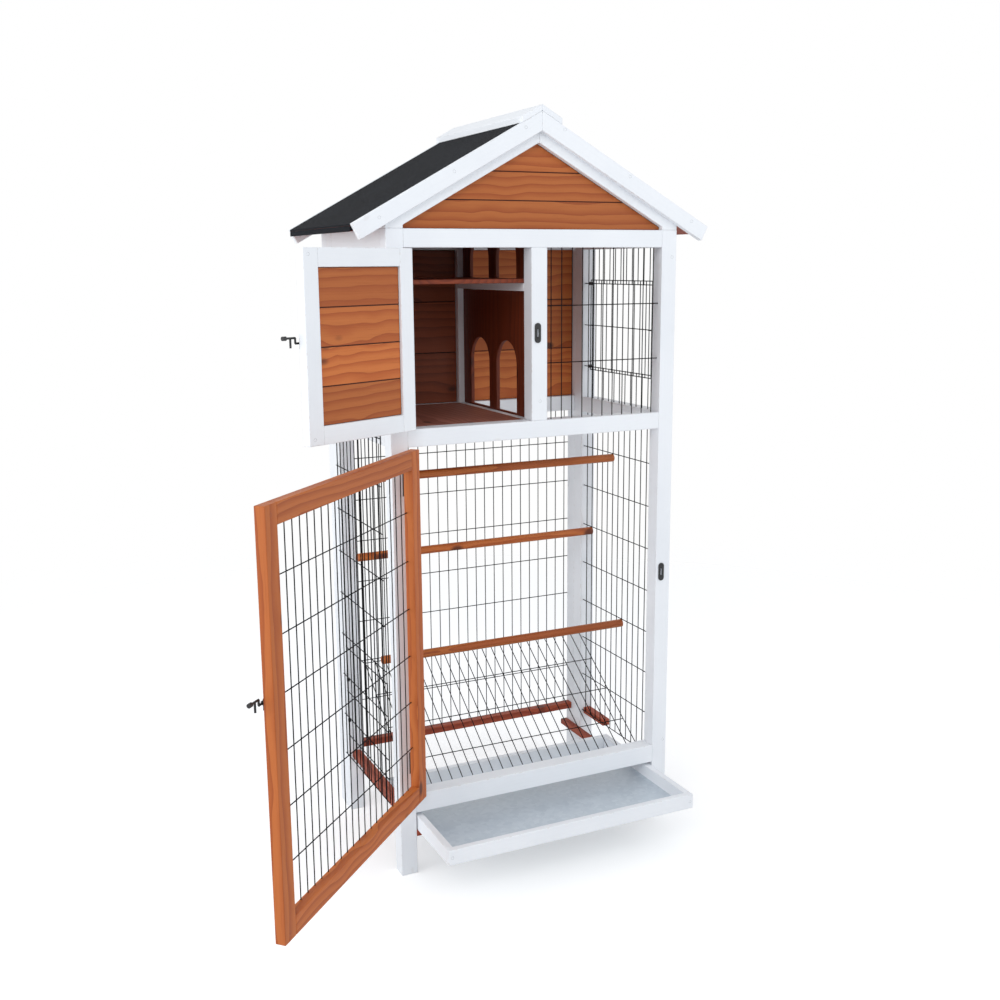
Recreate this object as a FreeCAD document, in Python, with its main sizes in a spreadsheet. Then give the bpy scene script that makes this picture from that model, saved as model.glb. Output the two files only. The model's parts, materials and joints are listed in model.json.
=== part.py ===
import FreeCAD, Part
import Sketcher
import math
import os
import re

# Tall timber aviary on four legs: wire flight cage below, nest box above, gable roof.
# The doors stand open, the dirt tray is pulled out and the wire floor is lifted.

# Driving sizes in millimetres, openings and tilts in degrees, shares without a unit
SIZES = {
    "cabinet_width": 678.0,
    "cabinet_depth": 430.0,
    "timber": 37.0,
    "leg_height": 142.0,
    "bottom_rail": 43.0,
    "flight_height": 762.0,
    "nest_height": 363.0,
    "gable_foot": 6.9,
    "roof_slope_share": 0.55,
    "rafter_rise": 46.0,
    "board": 9.0,
    "eave_reach": 72.5,
    "barge_thick": 14.4,
    "barge_drop": 39.0,
    "barge_cut": 16.0,
    "deck_rise": 11.5,
    "felt_rise": 3.5,
    "ridge_rise": 13.0,
    "ridge_reach": 46.0,
    "wire": 2.2,
    "wire_pitch": 25.4,
    "wire_row": 101.6,
    "left_hem": 60.0,
    "rear_hem": 45.0,
    "back_hem": 18.0,
    "sheet_lap": 22.0,
    "mesh_recess": 7.0,
    "hem_drop": 5.6,
    "window_inset": 10.0,
    "door_thick": 20.0,
    "door_gap": 1.5,
    "nest_door_frame": 35.0,
    "flight_door_frame": 37.0,
    "nest_door_open": 155.0,
    "flight_door_open": 135.0,
    "pin_forward": 4.0,
    "pin_radius": 1.5,
    "knuckle_radius": 3.5,
    "knuckle_length": 16.0,
    "leaf_thick": 1.2,
    "leaf_width": 14.0,
    "pin_play": 0.05,
    "running_gap": 0.3,
    "hinge_inset": 50.0,
    "nest_latch_share": 0.5245,
    "flight_latch_share": 0.5647,
    "latch_offset": 14.0,
    "latch_rod": 2.0,
    "latch_barrel": 4.0,
    "latch_plate": 2.0,
    "latch_base_width": 26.0,
    "latch_base_height": 20.0,
    "latch_barrel_length": 14.0,
    "latch_crank": 10.0,
    "latch_reach": 8.0,
    "latch_arm": 14.5,
    "latch_knob": 4.0,
    "keeper_length": 42.0,
    "keeper_width": 14.0,
    "keeper_thick": 2.0,
    "tray_back_gap": 42.0,
    "tray_board_height": 34.0,
    "tray_board": 15.0,
    "tray_sheet": 1.0,
    "tray_sheet_lift": 4.0,
    "tray_pull": 176.0,
    "tray_side_gap": 2.0,
    "tray_headroom": 7.5,
    "runner_width": 18.0,
    "runner_height": 14.0,
    "batten": 17.0,
    "batten_width": 20.0,
    "batten_drop": 5.0,
    "right_batten_length": 102.0,
    "floor_tilt": 34.5,
    "floor_front_gap": 6.0,
    "floor_back_gap": 4.8,
    "floor_side_gap": 8.0,
    "floor_lift": 1.8,
    "perch_radius": 9.5,
    "perch_inset": 25.0,
    "upper_perch_share": 0.58,
    "middle_perch_share": 0.92,
    "lower_perch_share": 0.42,
    "shelf_lift": 290.0,
    "arch_width": 104.0,
    "arch_height": 162.0,
    "arch_gap": 39.4,
    "arch_shift": 12.0,
    "arch_foot": 3.0,
    "partition_rise": 415.0,
    "loft_arch_height": 94.0,
    "left_gate_lap": 21.5,
    "right_gate_lap": 3.9,
    "gate_standoff": 3.4,
    "gate_ring": 3.2,
    "gate_ring_bore": 1.7,
    "gate_ring_length": 8.0,
    "left_gate_drop": 37.0,
    "right_gate_drop": 9.4,
    "overrun": 5.0,
}

# Heights and places that several pieces share, measured from the foot of the front left post
PLACES = {
    "rail_top": "(leg_height + bottom_rail)",
    "mid_low": "(leg_height + bottom_rail + flight_height)",
    "mid_top": "(leg_height + bottom_rail + flight_height + timber)",
    "top_low": "(leg_height + bottom_rail + flight_height + timber + nest_height)",
    "top_top": "(leg_height + bottom_rail + flight_height + 2 * timber + nest_height)",
    "gable_rise": "(gable_foot + roof_slope_share * (cabinet_width / 2 - timber))",
    "gable_top": "(leg_height + bottom_rail + flight_height + 2 * timber + nest_height + gable_foot"
                 " + roof_slope_share * (cabinet_width / 2 - timber))",
    "half_width": "(cabinet_width / 2)",
    "inner_width": "(cabinet_width - 2 * timber)",
    "rear_stile": "(cabinet_depth - 2 * timber)",
    "back_frame": "(cabinet_depth - timber)",
    "mid_left": "(cabinet_width / 2 - timber / 2)",
    "mid_right": "(cabinet_width / 2 + timber / 2)",
    "roof_half": "(cabinet_width / 2 + eave_reach)",
    "tray_low": "(leg_height - tray_board_height - tray_headroom)",
    "tray_depth": "(cabinet_depth - tray_back_gap)",
    "tray_width": "(cabinet_width - 2 * timber - 2 * tray_side_gap)",
    "batten_low": "(leg_height - batten_drop)",
    "batten_top": "(leg_height - batten_drop + batten)",
    "first_row": "(leg_height + hem_drop)",
    "inner_wire": "(cabinet_width - timber)",
    "right_face": "(cabinet_width - timber + mesh_recess + 2 * wire)",
    "sheet_low": "(leg_height + hem_drop - wire / 2)",
    "gate_height": "(2 * wire_row + 2 * right_gate_drop)",
    "slot_width": "(2 * latch_rod + 2 * running_gap)",
    "latch_forward": "(latch_plate + latch_barrel)",
}
DOORS = {
    "nest": {"width": "(mid_left - timber - 2 * door_gap)", "height": "(nest_height - 2 * door_gap)",
             "low": "(mid_top + door_gap)", "open": "nest_door_open", "frame": "nest_door_frame",
             "latch": "(mid_top + nest_height * nest_latch_share)"},
    "flight": {"width": "(inner_width - 2 * door_gap)", "height": "(flight_height - 2 * door_gap)",
               "low": "(rail_top + door_gap)", "open": "flight_door_open", "frame": "flight_door_frame",
               "latch": "(rail_top + flight_height * flight_latch_share)"},
}
WORD = re.compile(r"\b[a-z][a-z_]*[a-z]\b")


def swing(along, through, degrees):
    """Turn a point of a closed door about its pin, opening towards the front."""
    angle = math.radians(degrees)
    return (along * math.cos(angle) + through * math.sin(angle),
            through * math.cos(angle) - along * math.sin(angle))


def rest_middle():
    """Middle of the box that the part fills at rest, measured from the front left post."""
    edge = SIZES["cabinet_width"] - 2 * SIZES["timber"] - SIZES["door_gap"]
    reach = edge + SIZES["latch_offset"] + SIZES["door_gap"] + SIZES["latch_arm"] + SIZES["latch_knob"]
    forward = SIZES["pin_forward"] - SIZES["latch_plate"] - SIZES["latch_barrel"]
    corner = swing(edge, SIZES["pin_forward"], SIZES["flight_door_open"])
    tips = [swing(reach, forward + sign * SIZES["latch_knob"], SIZES["flight_door_open"]) for sign in (-1, 1)]
    left = SIZES["timber"] + min(spot[0] for spot in [corner] + tips)
    front = min(spot[1] for spot in [corner] + tips) - SIZES["pin_forward"]
    right = SIZES["cabinet_width"] + SIZES["eave_reach"]
    back = SIZES["cabinet_depth"] + SIZES["barge_thick"]
    return (left + right) / 2, (front + back) / 2


doc = FreeCAD.newDocument("bird_cage")
sheet = doc.addObject("Spreadsheet::Sheet", "Sizes")
middle_x, middle_y = rest_middle()
CELLS = dict(SIZES, datum_x=-middle_x, datum_y=-middle_y)
for row, (cell, value) in enumerate(CELLS.items(), start=1):
    sheet.set(f"A{row}", cell)
    sheet.set(f"B{row}", repr(round(value, 4)))
    sheet.setAlias(f"B{row}", cell)
doc.recompute()
PIECES = []


def spell_out(text):
    """Put the shared places into a formula."""
    return WORD.sub(lambda word: PLACES.get(word[0], word[0]), str(text))


def formula(text):
    """Spell a formula with the sheet's name before each of its cells."""
    return WORD.sub(lambda word: f"Sizes.{word[0]}" if word[0] in CELLS else word[0], spell_out(text))


def number(text):
    """Work a formula out to a plain number."""
    value = sheet.evalExpression(formula(text))
    return float(getattr(value, "Value", value))


def keep(obj, label):
    """Name a finished sub-part and list it for writing."""
    obj.Label = label
    PIECES.append(obj)
    return obj


def local(obj, x, y, z):
    """Tie an object's place within its own sub-assembly to the sheet."""
    for axis, text in zip("xyz", (x, y, z)):
        obj.setExpression(f"Placement.Base.{axis}", formula(text))
    return obj


def place(obj, x, y, z):
    """Tie an object's place in the cabinet to the sheet."""
    return local(obj, f"datum_x + {x}", f"datum_y + {y}", z)


def hang(obj, label, door):
    """Stand a door's piece at the hinge pin, turned open towards the front."""
    place(obj, "timber", "-pin_forward", "0")
    obj.setExpression("Placement.Rotation.Angle", formula(f"-{DOORS[door]['open']} * 1 deg"))
    return keep(obj, label)


def block(name, long_x, long_y, long_z):
    """A box with its three sizes tied to the sheet."""
    obj = doc.addObject("Part::Box", name)
    for side, text in (("Length", long_x), ("Width", long_y), ("Height", long_z)):
        obj.setExpression(side, formula(text))
    return obj


def rod(name, radius, long, axis="z"):
    """A round bar along one axis, with its sizes tied to the sheet."""
    obj = doc.addObject("Part::Cylinder", name)
    obj.setExpression("Radius", formula(radius))
    obj.setExpression("Height", formula(long))
    turns = {"x": ((0, 1, 0), 90), "y": ((1, 0, 0), -90), "z": ((0, 0, 1), 0)}
    direction, angle = turns[axis]
    obj.Placement.Rotation = FreeCAD.Rotation(FreeCAD.Vector(*direction), angle)
    return obj


def cut(name, base, tools):
    """Take tools out of a piece."""
    obj = doc.addObject("Part::Cut", name)
    obj.Base = base
    obj.Tool = tools[0] if len(tools) == 1 else fuse(f"{name}_tools", tools)
    return obj


def fuse(name, parts):
    """Join touching parts of one piece."""
    obj = doc.addObject("Part::MultiFuse", name)
    obj.Shapes = parts
    return obj


def bundle(name, parts):
    """Several like pieces that share one node, each still its own solid."""
    obj = doc.addObject("Part::Compound", name)
    obj.Links = parts
    return obj


def outline_body(name, points, thickness):
    """A flat piece: straight edges in the XZ plane, given its thickness towards the back."""
    body = doc.addObject("PartDesign::Body", name)
    sketch = body.newObject("Sketcher::SketchObject", f"{name}_outline")
    plane = next(item for item in body.Origin.OriginFeatures if item.Role == "XZ_Plane")
    sketch.AttachmentSupport = (plane, "")
    sketch.MapMode = "FlatFace"
    spots = [FreeCAD.Vector(number(x), number(z), 0) for x, z in points]
    for first, second in zip(spots, spots[1:] + spots[:1]):
        sketch.addGeometry(Part.LineSegment(first, second))
    for edge in range(len(spots)):
        sketch.addConstraint(Sketcher.Constraint("Coincident", edge, 2, (edge + 1) % len(spots), 1))
    for edge, point in enumerate(points):
        for kind, text in zip(("DistanceX", "DistanceY"), point):
            tie = sketch.addConstraint(Sketcher.Constraint(kind, -1, 1, edge, 1, number(text)))
            sketch.setExpression(f"Constraints[{tie}]", formula(text))
    pad = body.newObject("PartDesign::Pad", f"{name}_pad")
    pad.Profile = sketch
    pad.Reversed = True
    pad.setExpression("Length", formula(thickness))
    return body


def bar(name, x, y, z, long_x, long_y, long_z):
    """A square-cut piece that shares a node with others."""
    return place(block(name, long_x, long_y, long_z), x, y, z)


def timber_bar(label, x, y, z, long_x, long_y, long_z):
    """A square-cut piece of timber in the cabinet."""
    return keep(bar(f"{label}_blank", x, y, z, long_x, long_y, long_z), label)


def side_frames():
    """Posts, rails and floor battens of the two sides."""
    between_posts = "(rear_stile - timber)"
    for side, x in (("left", "0"), ("right", "inner_wire")):
        timber_bar(f"{side}_rear_post", x, "rear_stile", "0", "timber", "timber", "top_top")
        rails = [bar(f"{side}_{level}_rail", x, "timber", low, "timber", between_posts, "timber")
                 for level, low in (("middle", "mid_low"), ("top", "top_low"))]
        keep(bundle(f"{side}_rails", rails), f"{side}_rails")
    timber_bar("left_front_post", "0", "0", "0", "timber", "timber", "top_top")


def cross_frames():
    """Rails and stiles of the front and the back, and the battens under the wire floor."""
    for level, low, tall in (("bottom", "leg_height", "bottom_rail"), ("middle", "mid_low", "timber"),
                             ("top", "top_low", "timber")):
        timber_bar(f"front_{level}_rail", "timber", "0", low, "inner_width", "timber", tall)
    rails = [bar(f"back_{level}_rail", "timber", "back_frame", low, "inner_width", "timber", "timber")
             for level, low in (("middle", "mid_low"), ("top", "top_low"))]
    keep(bundle("back_rails", rails), "back_rails")
    stiles = [bar(f"{side}_back_stile", x, "back_frame", low, "timber", "timber", tall)
              for side, x, low, tall in (("left", "0", "0", "top_top"), ("right", "inner_wire", "0", "top_top"),
                                         ("middle", "mid_left", "mid_top", "nest_height"))]
    keep(bundle("back_stiles", stiles), "back_stiles")
    timber_bar("nest_bearer", "mid_left", "timber", "mid_low", "timber", "back_frame - timber", "timber")
    inset = "((timber - batten_width) / 2)"
    battens = [bar(f"{side}_floor_batten", x, y, "batten_low", long_x, long_y, "batten")
               for side, x, y, long_x, long_y in (
                   ("left", inset, "timber", "batten_width", "rear_stile - timber"),
                   ("right", "right_face", "rear_stile - right_batten_length", "batten_width",
                    "right_batten_length"),
                   ("front", "timber", "timber", "inner_width", "batten"),
                   ("back", "timber", f"back_frame + {inset}", "inner_width", "batten_width"))]
    keep(bundle("floor_battens", battens), "floor_battens")


def mortised_post(label, x, low, tall, door, edge):
    """A front post with the mortise that a door's latch tine drops into, and its keeper plate."""
    centre_x = f"({edge} + latch_offset)"
    centre_z = f"({DOORS[door]['latch']} - latch_reach / 2)"
    slot_long = "(latch_reach + 4 * latch_rod)"
    post = place(block(f"{label}_blank", "timber", "timber", tall), x, "0", low)
    mortise = place(block(f"{label}_mortise", "slot_width", "latch_reach + overrun", slot_long),
                    f"{centre_x} - slot_width / 2", "-overrun", f"{centre_z} - {slot_long} / 2")
    keep(cut(label, post, [mortise]), label)
    plate = place(block(f"{door}_keeper_plate", "keeper_width", "keeper_thick", "keeper_length - keeper_width"),
                  f"{centre_x} - keeper_width / 2", "-keeper_thick",
                  f"{centre_z} - (keeper_length - keeper_width) / 2")
    ends = [place(rod(f"{door}_keeper_end_{name}", "keeper_width / 2", "keeper_thick", "y"), centre_x,
                  "-keeper_thick", f"{centre_z} + {sign} * (keeper_length - keeper_width) / 2")
            for name, sign in (("low", -1), ("high", 1))]
    slot = place(block(f"{door}_keeper_slot", "slot_width", "keeper_thick + 2 * overrun", slot_long),
                 f"{centre_x} - slot_width / 2", "-keeper_thick - overrun", f"{centre_z} - {slot_long} / 2")
    return cut(f"{door}_keeper", fuse(f"{door}_keeper_blank", [plate] + ends), [slot])


def plank_wall(label, x, y, z, long_x, long_y, tall, planks):
    """A wall of planks laid edge to edge, one above the other."""
    step = f"({tall}) / {planks}"
    boards = [place(block(f"{label}_plank_{level}", long_x, long_y, step), x, y, f"{z} + {step} * {level}")
              for level in range(planks)]
    keep(bundle(label, boards), label)


def gable_panel(label, y):
    """Three planks that fill the triangle under the rafters."""
    half = "(half_width - timber)"
    side = f"(gable_rise - roof_slope_share * {half})"
    first, second = "(gable_rise / 3)", "(gable_rise * 2 / 3)"
    near, far = (f"(({level} - {side}) / roof_slope_share)" for level in (first, second))
    outlines = [
        [("0", "0"), ("inner_width", "0"), ("inner_width", side), (f"inner_width - {near}", first),
         (near, first), ("0", side)],
        [(near, first), (f"inner_width - {near}", first), (f"inner_width - {far}", second), (far, second)],
        [(far, second), (f"inner_width - {far}", second), (half, "gable_rise")],
    ]
    boards = [place(outline_body(f"{label}_{level}", points, "board"), "timber", y, "top_top")
              for level, points in enumerate(outlines)]
    keep(bundle(label, boards), label)


def slope_outline(side, low, high, start="0", square="0"):
    """One roof slope between two heights above the rafters' lower line, from the eave to the ridge."""
    fall = f"gable_top - roof_slope_share * roof_half"
    points = [(f"{start} + {square}", f"{fall} + roof_slope_share * ({start} + {square}) + {low}"),
              ("roof_half", f"gable_top + {low}"), ("roof_half", f"gable_top + {high}"),
              (start, f"{fall} + roof_slope_share * {start} + {high}")]
    if side == "right":
        points = [(f"2 * roof_half - ({x})", z) for x, z in reversed(points)]
    return points


def rafters(label, y):
    """The pair of sloping timbers that stand on the posts and meet at the ridge."""
    pair = []
    for side in ("left", "right"):
        reach = "(half_width - timber)"
        outline = [("0", "0"), ("timber", "0"), ("timber", f"gable_rise - roof_slope_share * {reach}"),
                   ("half_width", "gable_rise"), ("half_width", "gable_rise + rafter_rise"),
                   ("0", "gable_rise + rafter_rise - roof_slope_share * half_width")]
        if side == "right":
            outline = [(f"cabinet_width - {x}", z) for x, z in reversed(outline)]
        pair.append(place(outline_body(f"{label}_{side}", outline, "timber"), "0", y, "top_top"))
    keep(bundle(label, pair), label)


def roof():
    """Boards, felt, barge boards and ridge cap."""
    felt_low = "rafter_rise + deck_rise"
    top = "rafter_rise + deck_rise + felt_rise"
    for side in ("left", "right"):
        for layer, low, high in (("deck", "rafter_rise", felt_low), ("felt", felt_low, top)):
            body = outline_body(f"{side}_roof_{layer}", slope_outline(side, low, high), "cabinet_depth")
            keep(place(body, "-eave_reach", "0", "0"), f"{side}_roof_{layer}")
    for end, y in (("front", "-barge_thick"), ("back", "cabinet_depth")):
        pair = []
        for side in ("left", "right"):
            outline = slope_outline(side, f"{top} - barge_drop", top, square="barge_cut")
            pair.append(place(outline_body(f"{end}_barge_{side}", outline, "barge_thick"), "-eave_reach", y, "0"))
        keep(bundle(f"{end}_barge_boards", pair), f"{end}_barge_boards")
    start = "(roof_half - ridge_reach)"
    pair = []
    for side in ("left", "right"):
        outline = slope_outline(side, top, f"{top} + ridge_rise", start=start)
        body = outline_body(f"ridge_cap_{side}", outline, "cabinet_depth + 2 * barge_thick")
        pair.append(place(body, "-eave_reach", "-barge_thick", "0"))
    keep(bundle("ridge_cap", pair), "ridge_cap")


def grid(columns, rows, width, height, spot=None, hatch=None):
    """Welded wire: upright wires in one layer, cross wires in the layer behind, and an optional open hatch."""
    wire = number("wire")

    def stretches(count, ends, crossing, across):
        """A wire's own stretches: whole, or the two that stop at the hatch."""
        if hatch is None or not hatch[across][0] < count < hatch[across][1]:
            return [ends]
        low, high = (crossing[edge] for edge in hatch[1 - across])
        return [(ends[0], low + wire / 2), (high - wire / 2, ends[1])]

    bars = []
    for count, x in enumerate(columns):
        for low, high in stretches(count, (0, height), rows, 0):
            bars.append(Part.makeBox(wire, wire, high - low, FreeCAD.Vector(x - wire / 2, 0, low)))
    for count, z in enumerate(rows):
        for low, high in stretches(count, (0, width), columns, 1):
            bars.append(Part.makeBox(high - low, wire, wire, FreeCAD.Vector(low, wire, z - wire / 2)))
    for bar in bars:
        bar.Placement = spot or FreeCAD.Placement()
    return bars


def evenly(room):
    """Places of wires at the wire pitch, from the start of a room to the last that fits in it."""
    wire, pitch = number("wire"), number("wire_pitch")
    return [wire / 2 + pitch * step for step in range(int((room - wire) / pitch) + 1)]


def between(pitch, room):
    """Places of wires at one pitch, centred in an opening."""
    count = int(room / pitch)
    return [(room - (count - 1) * pitch) / 2 + pitch * step for step in range(count)]


def side_columns(side):
    """Places of a side sheet's upright wires, from its front edge."""
    room = {"left": "cabinet_depth - left_hem - rear_hem", "right": "rear_stile - timber"}
    return evenly(number(room[side]))


def row_numbers(base, top):
    """Cross wires between two heights, counted from the lowest of the cage."""
    first, pitch, quarter = number("first_row"), number("wire_row"), number("wire / 4")
    low, high = number(base) + quarter, number(top) - quarter
    return [count for count in range(int((high - first) / pitch) + 1) if low < first + pitch * count]


def row_places(base, top):
    """Heights of the cross wires between two heights, measured from the lower one."""
    start = number("first_row") - number(base)
    return [start + number("wire_row") * count for count in row_numbers(base, top)]


def hatch_rows(side):
    """The two cross wires that bound a side's hatch: near the floor on the left, over the nest floor on the right."""
    if side == "left":
        return 1, 2
    low = math.ceil(number("(mid_top + right_gate_drop + wire - first_row) / wire_row"))
    return low, low + 2


def hatch_columns(side):
    """The two upright wires that bound a side's hatch."""
    count = len(side_columns(side))
    return (0, count - 3) if side == "left" else (1, count - 2)


def wire_piece(label, bars, turn=0, axis=(0, 0, 1)):
    """A welded wire piece as an object of the document: its wires touch at every crossing."""
    obj = doc.addObject("Part::Feature", label)
    obj.Shape = Part.makeCompound(bars)
    obj.Placement = FreeCAD.Placement(FreeCAD.Vector(), FreeCAD.Rotation(FreeCAD.Vector(*axis), turn))
    return obj


def cage_wire():
    """The wire sheets of the sides, back and front window."""
    wire, pitch = number("wire"), number("wire_pitch")
    tall, rows = number("mid_low + sheet_lap - sheet_low"), row_places("sheet_low", "mid_low + sheet_lap")
    columns = side_columns("left")
    left = grid(columns, rows, columns[-1] + wire / 2, tall, hatch=(hatch_columns("left"), hatch_rows("left")))
    keep(place(wire_piece("left_wire", left, 90), "0", "left_hem", "sheet_low"), "left_wire")

    columns = evenly(number("cabinet_width - 2 * back_hem"))
    width = columns[-1] + wire / 2
    back = grid(columns, rows, width, tall)
    keep(place(wire_piece("back_wire", back), f"half_width - {width / 2}", "cabinet_depth", "sheet_low"), "back_wire")

    # The right sheet is let in between the posts, so the middle rail parts it in two
    columns, width = side_columns("right"), number("rear_stile - timber")
    right = grid(columns, row_places("sheet_low", "mid_low"), width, number("mid_low - sheet_low"))
    rise = FreeCAD.Placement(FreeCAD.Vector(0, 0, number("mid_top - sheet_low")), FreeCAD.Rotation())
    numbers = row_numbers("mid_top", "top_low")
    bounds = tuple(numbers.index(count) for count in hatch_rows("right"))
    right += grid(columns, row_places("mid_top", "top_low"), width, number("nest_height"), rise,
                  (hatch_columns("right"), bounds))
    keep(place(wire_piece("right_wire", right, 90), "right_face", "timber", "sheet_low"), "right_wire")

    wide, tall = number("cabinet_width - timber - mid_right"), number("nest_height")
    window = grid(between(pitch, wide), [tall / 3, tall * 2 / 3], wide, tall)
    keep(place(wire_piece("window_wire", window), "mid_right", "window_inset", "mid_top"), "window_wire")


def wire_gate(side, outward):
    """Small wire gate over a hatch of a side sheet, and the two rings that its rear wire turns in."""
    wire, pitch, tall = number("wire"), number("wire_pitch"), number("gate_height")
    first, last = hatch_columns(side)
    columns = [-pitch * step for step in range(last - first + 2)]
    width = -columns[-1]
    bars = []
    for y in columns:
        bars.append(Part.makeBox(wire, wire, tall, FreeCAD.Vector(-wire / 2, y - wire / 2, 0)))
    for z in (0, (tall - wire) / 2, tall - wire):
        bars.append(Part.makeBox(wire, width + wire, wire,
                                 FreeCAD.Vector(outward * wire - wire / 2, -width - wire / 2, z)))
    low_row, high_row = hatch_rows(side)
    face, front = ("-2 * wire", "left_hem") if side == "left" else ("right_face", "timber")
    axis_x = f"{face} + {outward} * gate_standoff"
    hinge_y = f"({front} + wire / 2 + {first} * wire_pitch - {side}_gate_lap + {width})"
    bottom = f"(first_row + {low_row} * wire_row - {side}_gate_drop)"
    keep(place(wire_piece(f"{side}_gate", bars), axis_x, hinge_y, bottom), f"{side}_gate")

    # Each ring is welded to a cross wire, which lies nearer on the left side than on the right
    seat = "gate_standoff" if side == "left" else "(gate_standoff + wire)"
    start = "0" if side == "left" else f"-{seat}"
    rings = []
    for count in (low_row, high_row):
        tube = local(rod(f"{side}_ring_{count}", "gate_ring", "gate_ring_length"), "0", "0", "0")
        web = local(block(f"{side}_ring_web_{count}", seat, "2 * wire", "gate_ring_length"), start, "-wire", "0")
        bore = local(rod(f"{side}_ring_bore_{count}", "gate_ring_bore", "gate_ring_length + 2 * overrun"),
                     "0", "0", "-overrun")
        ring = cut(f"{side}_ring_cut_{count}", fuse(f"{side}_ring_blank_{count}", [tube, web]), [bore])
        rings.append(local(ring, "0", "0", f"first_row + {count} * wire_row - gate_ring_length / 2"))
    keep(place(bundle(f"{side}_gate_rings", rings), axis_x, hinge_y, "0"), f"{side}_gate_rings")


def wire_floor():
    """The wire floor, lifted about its front cross wire."""
    wire = number("wire")
    columns = evenly(number("inner_width - 2 * floor_side_gap"))
    depth = number("cabinet_depth - timber - floor_front_gap - floor_back_gap - wire")
    steps = round(depth / number("wire_row"))
    rows = [wire / 2 + depth * step / steps for step in range(steps + 1)]
    width = columns[-1] + wire / 2
    lay = FreeCAD.Placement(FreeCAD.Vector(-width / 2, -wire / 2, 3 * wire / 2),
                            FreeCAD.Rotation(FreeCAD.Vector(1, 0, 0), -90))
    flat = grid(columns, rows, width, rows[-1] + wire / 2, lay)
    keep(place(wire_piece("wire_floor", flat, number("floor_tilt"), (1, 0, 0)), "half_width",
               "timber + floor_front_gap", "batten_top + floor_lift"), "wire_floor")


def perches():
    """Round perches that end in the right sheet, each under a cross wire and against an upright wire."""
    last = len(side_columns("right")) - 1
    rows = row_numbers("sheet_low", "mid_low")
    for step, label in enumerate(("upper_perch", "middle_perch", "lower_perch")):
        count = round(number(f"{label}_share") * last)
        y = f"(timber + wire / 2 + {count} * wire_pitch)"
        z = f"(first_row + {rows[-1 - 2 * step]} * wire_row - wire / 2 - perch_radius)"
        bar = rod(f"{label}_bar", "perch_radius", "right_face - wire - perch_inset", "x")
        keep(place(bar, "perch_inset", y, z), label)


def nest_box():
    """Floor, shelf, their cleats and the partition with its doorways."""
    depth = "(back_frame - timber)"
    clear = "(mid_left - timber)"
    floor_low = "(mid_top - board)"
    timber_bar("nest_floor", "timber", "timber", floor_low, clear, depth, "board")
    cleats = [place(block(f"floor_cleat_{side}", "board", depth, "batten"), x, "timber",
                    f"{floor_low} - batten") for side, x in (("left", "timber"), ("right", "mid_left - board"))]
    shelf_low = "(mid_top + shelf_lift)"
    face = "(half_width - board / 2)"
    timber_bar("nest_shelf", "timber", "timber", shelf_low, f"{face} - timber", depth, "board")
    cleats += [place(block(f"shelf_cleat_{side}", wide, depth, "batten"), x, "timber", f"{shelf_low} - batten")
              for side, x, wide in (("left", "timber", "board"), ("right", "mid_left", f"{face} - mid_left"))]
    keep(bundle("nest_cleats", cleats), "nest_cleats")
    sheet_blank = place(block("partition_blank", "board", depth, "partition_rise"), face, "timber", "mid_top")
    holes = []
    middle = "(timber + (back_frame - timber) / 2 + arch_shift)"
    for level, low, tall in (("low", "mid_top + arch_foot", "arch_height - arch_foot"),
                             ("high", f"{shelf_low} + board", "loft_arch_height")):
        for name, sign in (("front", -1), ("back", 1)):
            centre = f"({middle} + {sign} * (arch_width + arch_gap) / 2)"
            doorway = block(f"doorway_{level}_{name}", "board + 2 * overrun", "arch_width",
                            f"{tall} - arch_width / 2")
            holes.append(place(doorway, f"{face} - overrun", f"{centre} - arch_width / 2", low))
            arch = rod(f"arch_{level}_{name}", "arch_width / 2", "board + 2 * overrun", "x")
            holes.append(place(arch, f"{face} - overrun", centre, f"{low} + {tall} - arch_width / 2"))
    keep(cut("nest_partition", sheet_blank, holes), "nest_partition")


def door_frame(door):
    """Two stiles and two rails of a door, in its own frame at the hinge pin."""
    data = DOORS[door]
    frame, width, height, low = data["frame"], data["width"], data["height"], data["low"]
    stiles = [local(block(f"{door}_door_stile_{name}", frame, "door_thick", height), x, "pin_forward", low)
              for name, x in (("hinge", "door_gap"), ("free", f"door_gap + {width} - {frame}"))]
    rails = [local(block(f"{door}_door_rail_{name}", f"{width} - 2 * {frame}", "door_thick", frame),
                   f"door_gap + {frame}", "pin_forward", z)
             for name, z in (("low", low), ("high", f"{low} + {height} - {frame}"))]
    hang(bundle(f"{door}_door_frame", stiles + rails), f"{door}_door_frame", door)


def nest_door_panel():
    """Four planks let into the nest door's frame."""
    data = DOORS["nest"]
    frame = data["frame"]
    step = f"(({data['height']} - 2 * {frame}) / 4)"
    planks = [local(block(f"nest_door_plank_{level}", f"{data['width']} - 2 * {frame}", "board", step),
                    f"door_gap + {frame}", "pin_forward + (door_thick - board) / 2",
                    f"{data['low']} + {frame} + {step} * {level}") for level in range(4)]
    hang(bundle("nest_door_planks", planks), "nest_door_planks", "nest")


def flight_door_wire():
    """Welded wire let into the flight door's frame near its outer face."""
    data = DOORS["flight"]
    wide = number(f"{data['width']} - 2 * {data['frame']}")
    tall = number(f"{data['height']} - 2 * {data['frame']}")
    corner = FreeCAD.Vector(number(f"door_gap + {data['frame']}"), number("pin_forward + wire"),
                            number(f"{data['low']} + {data['frame']}"))
    bars = grid(between(number("wire_pitch"), wide), between(number("wire_row"), tall), wide, tall,
                FreeCAD.Placement(corner, FreeCAD.Rotation()))
    hang(wire_piece("flight_door_wire", bars), "flight_door_wire", "flight")


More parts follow.
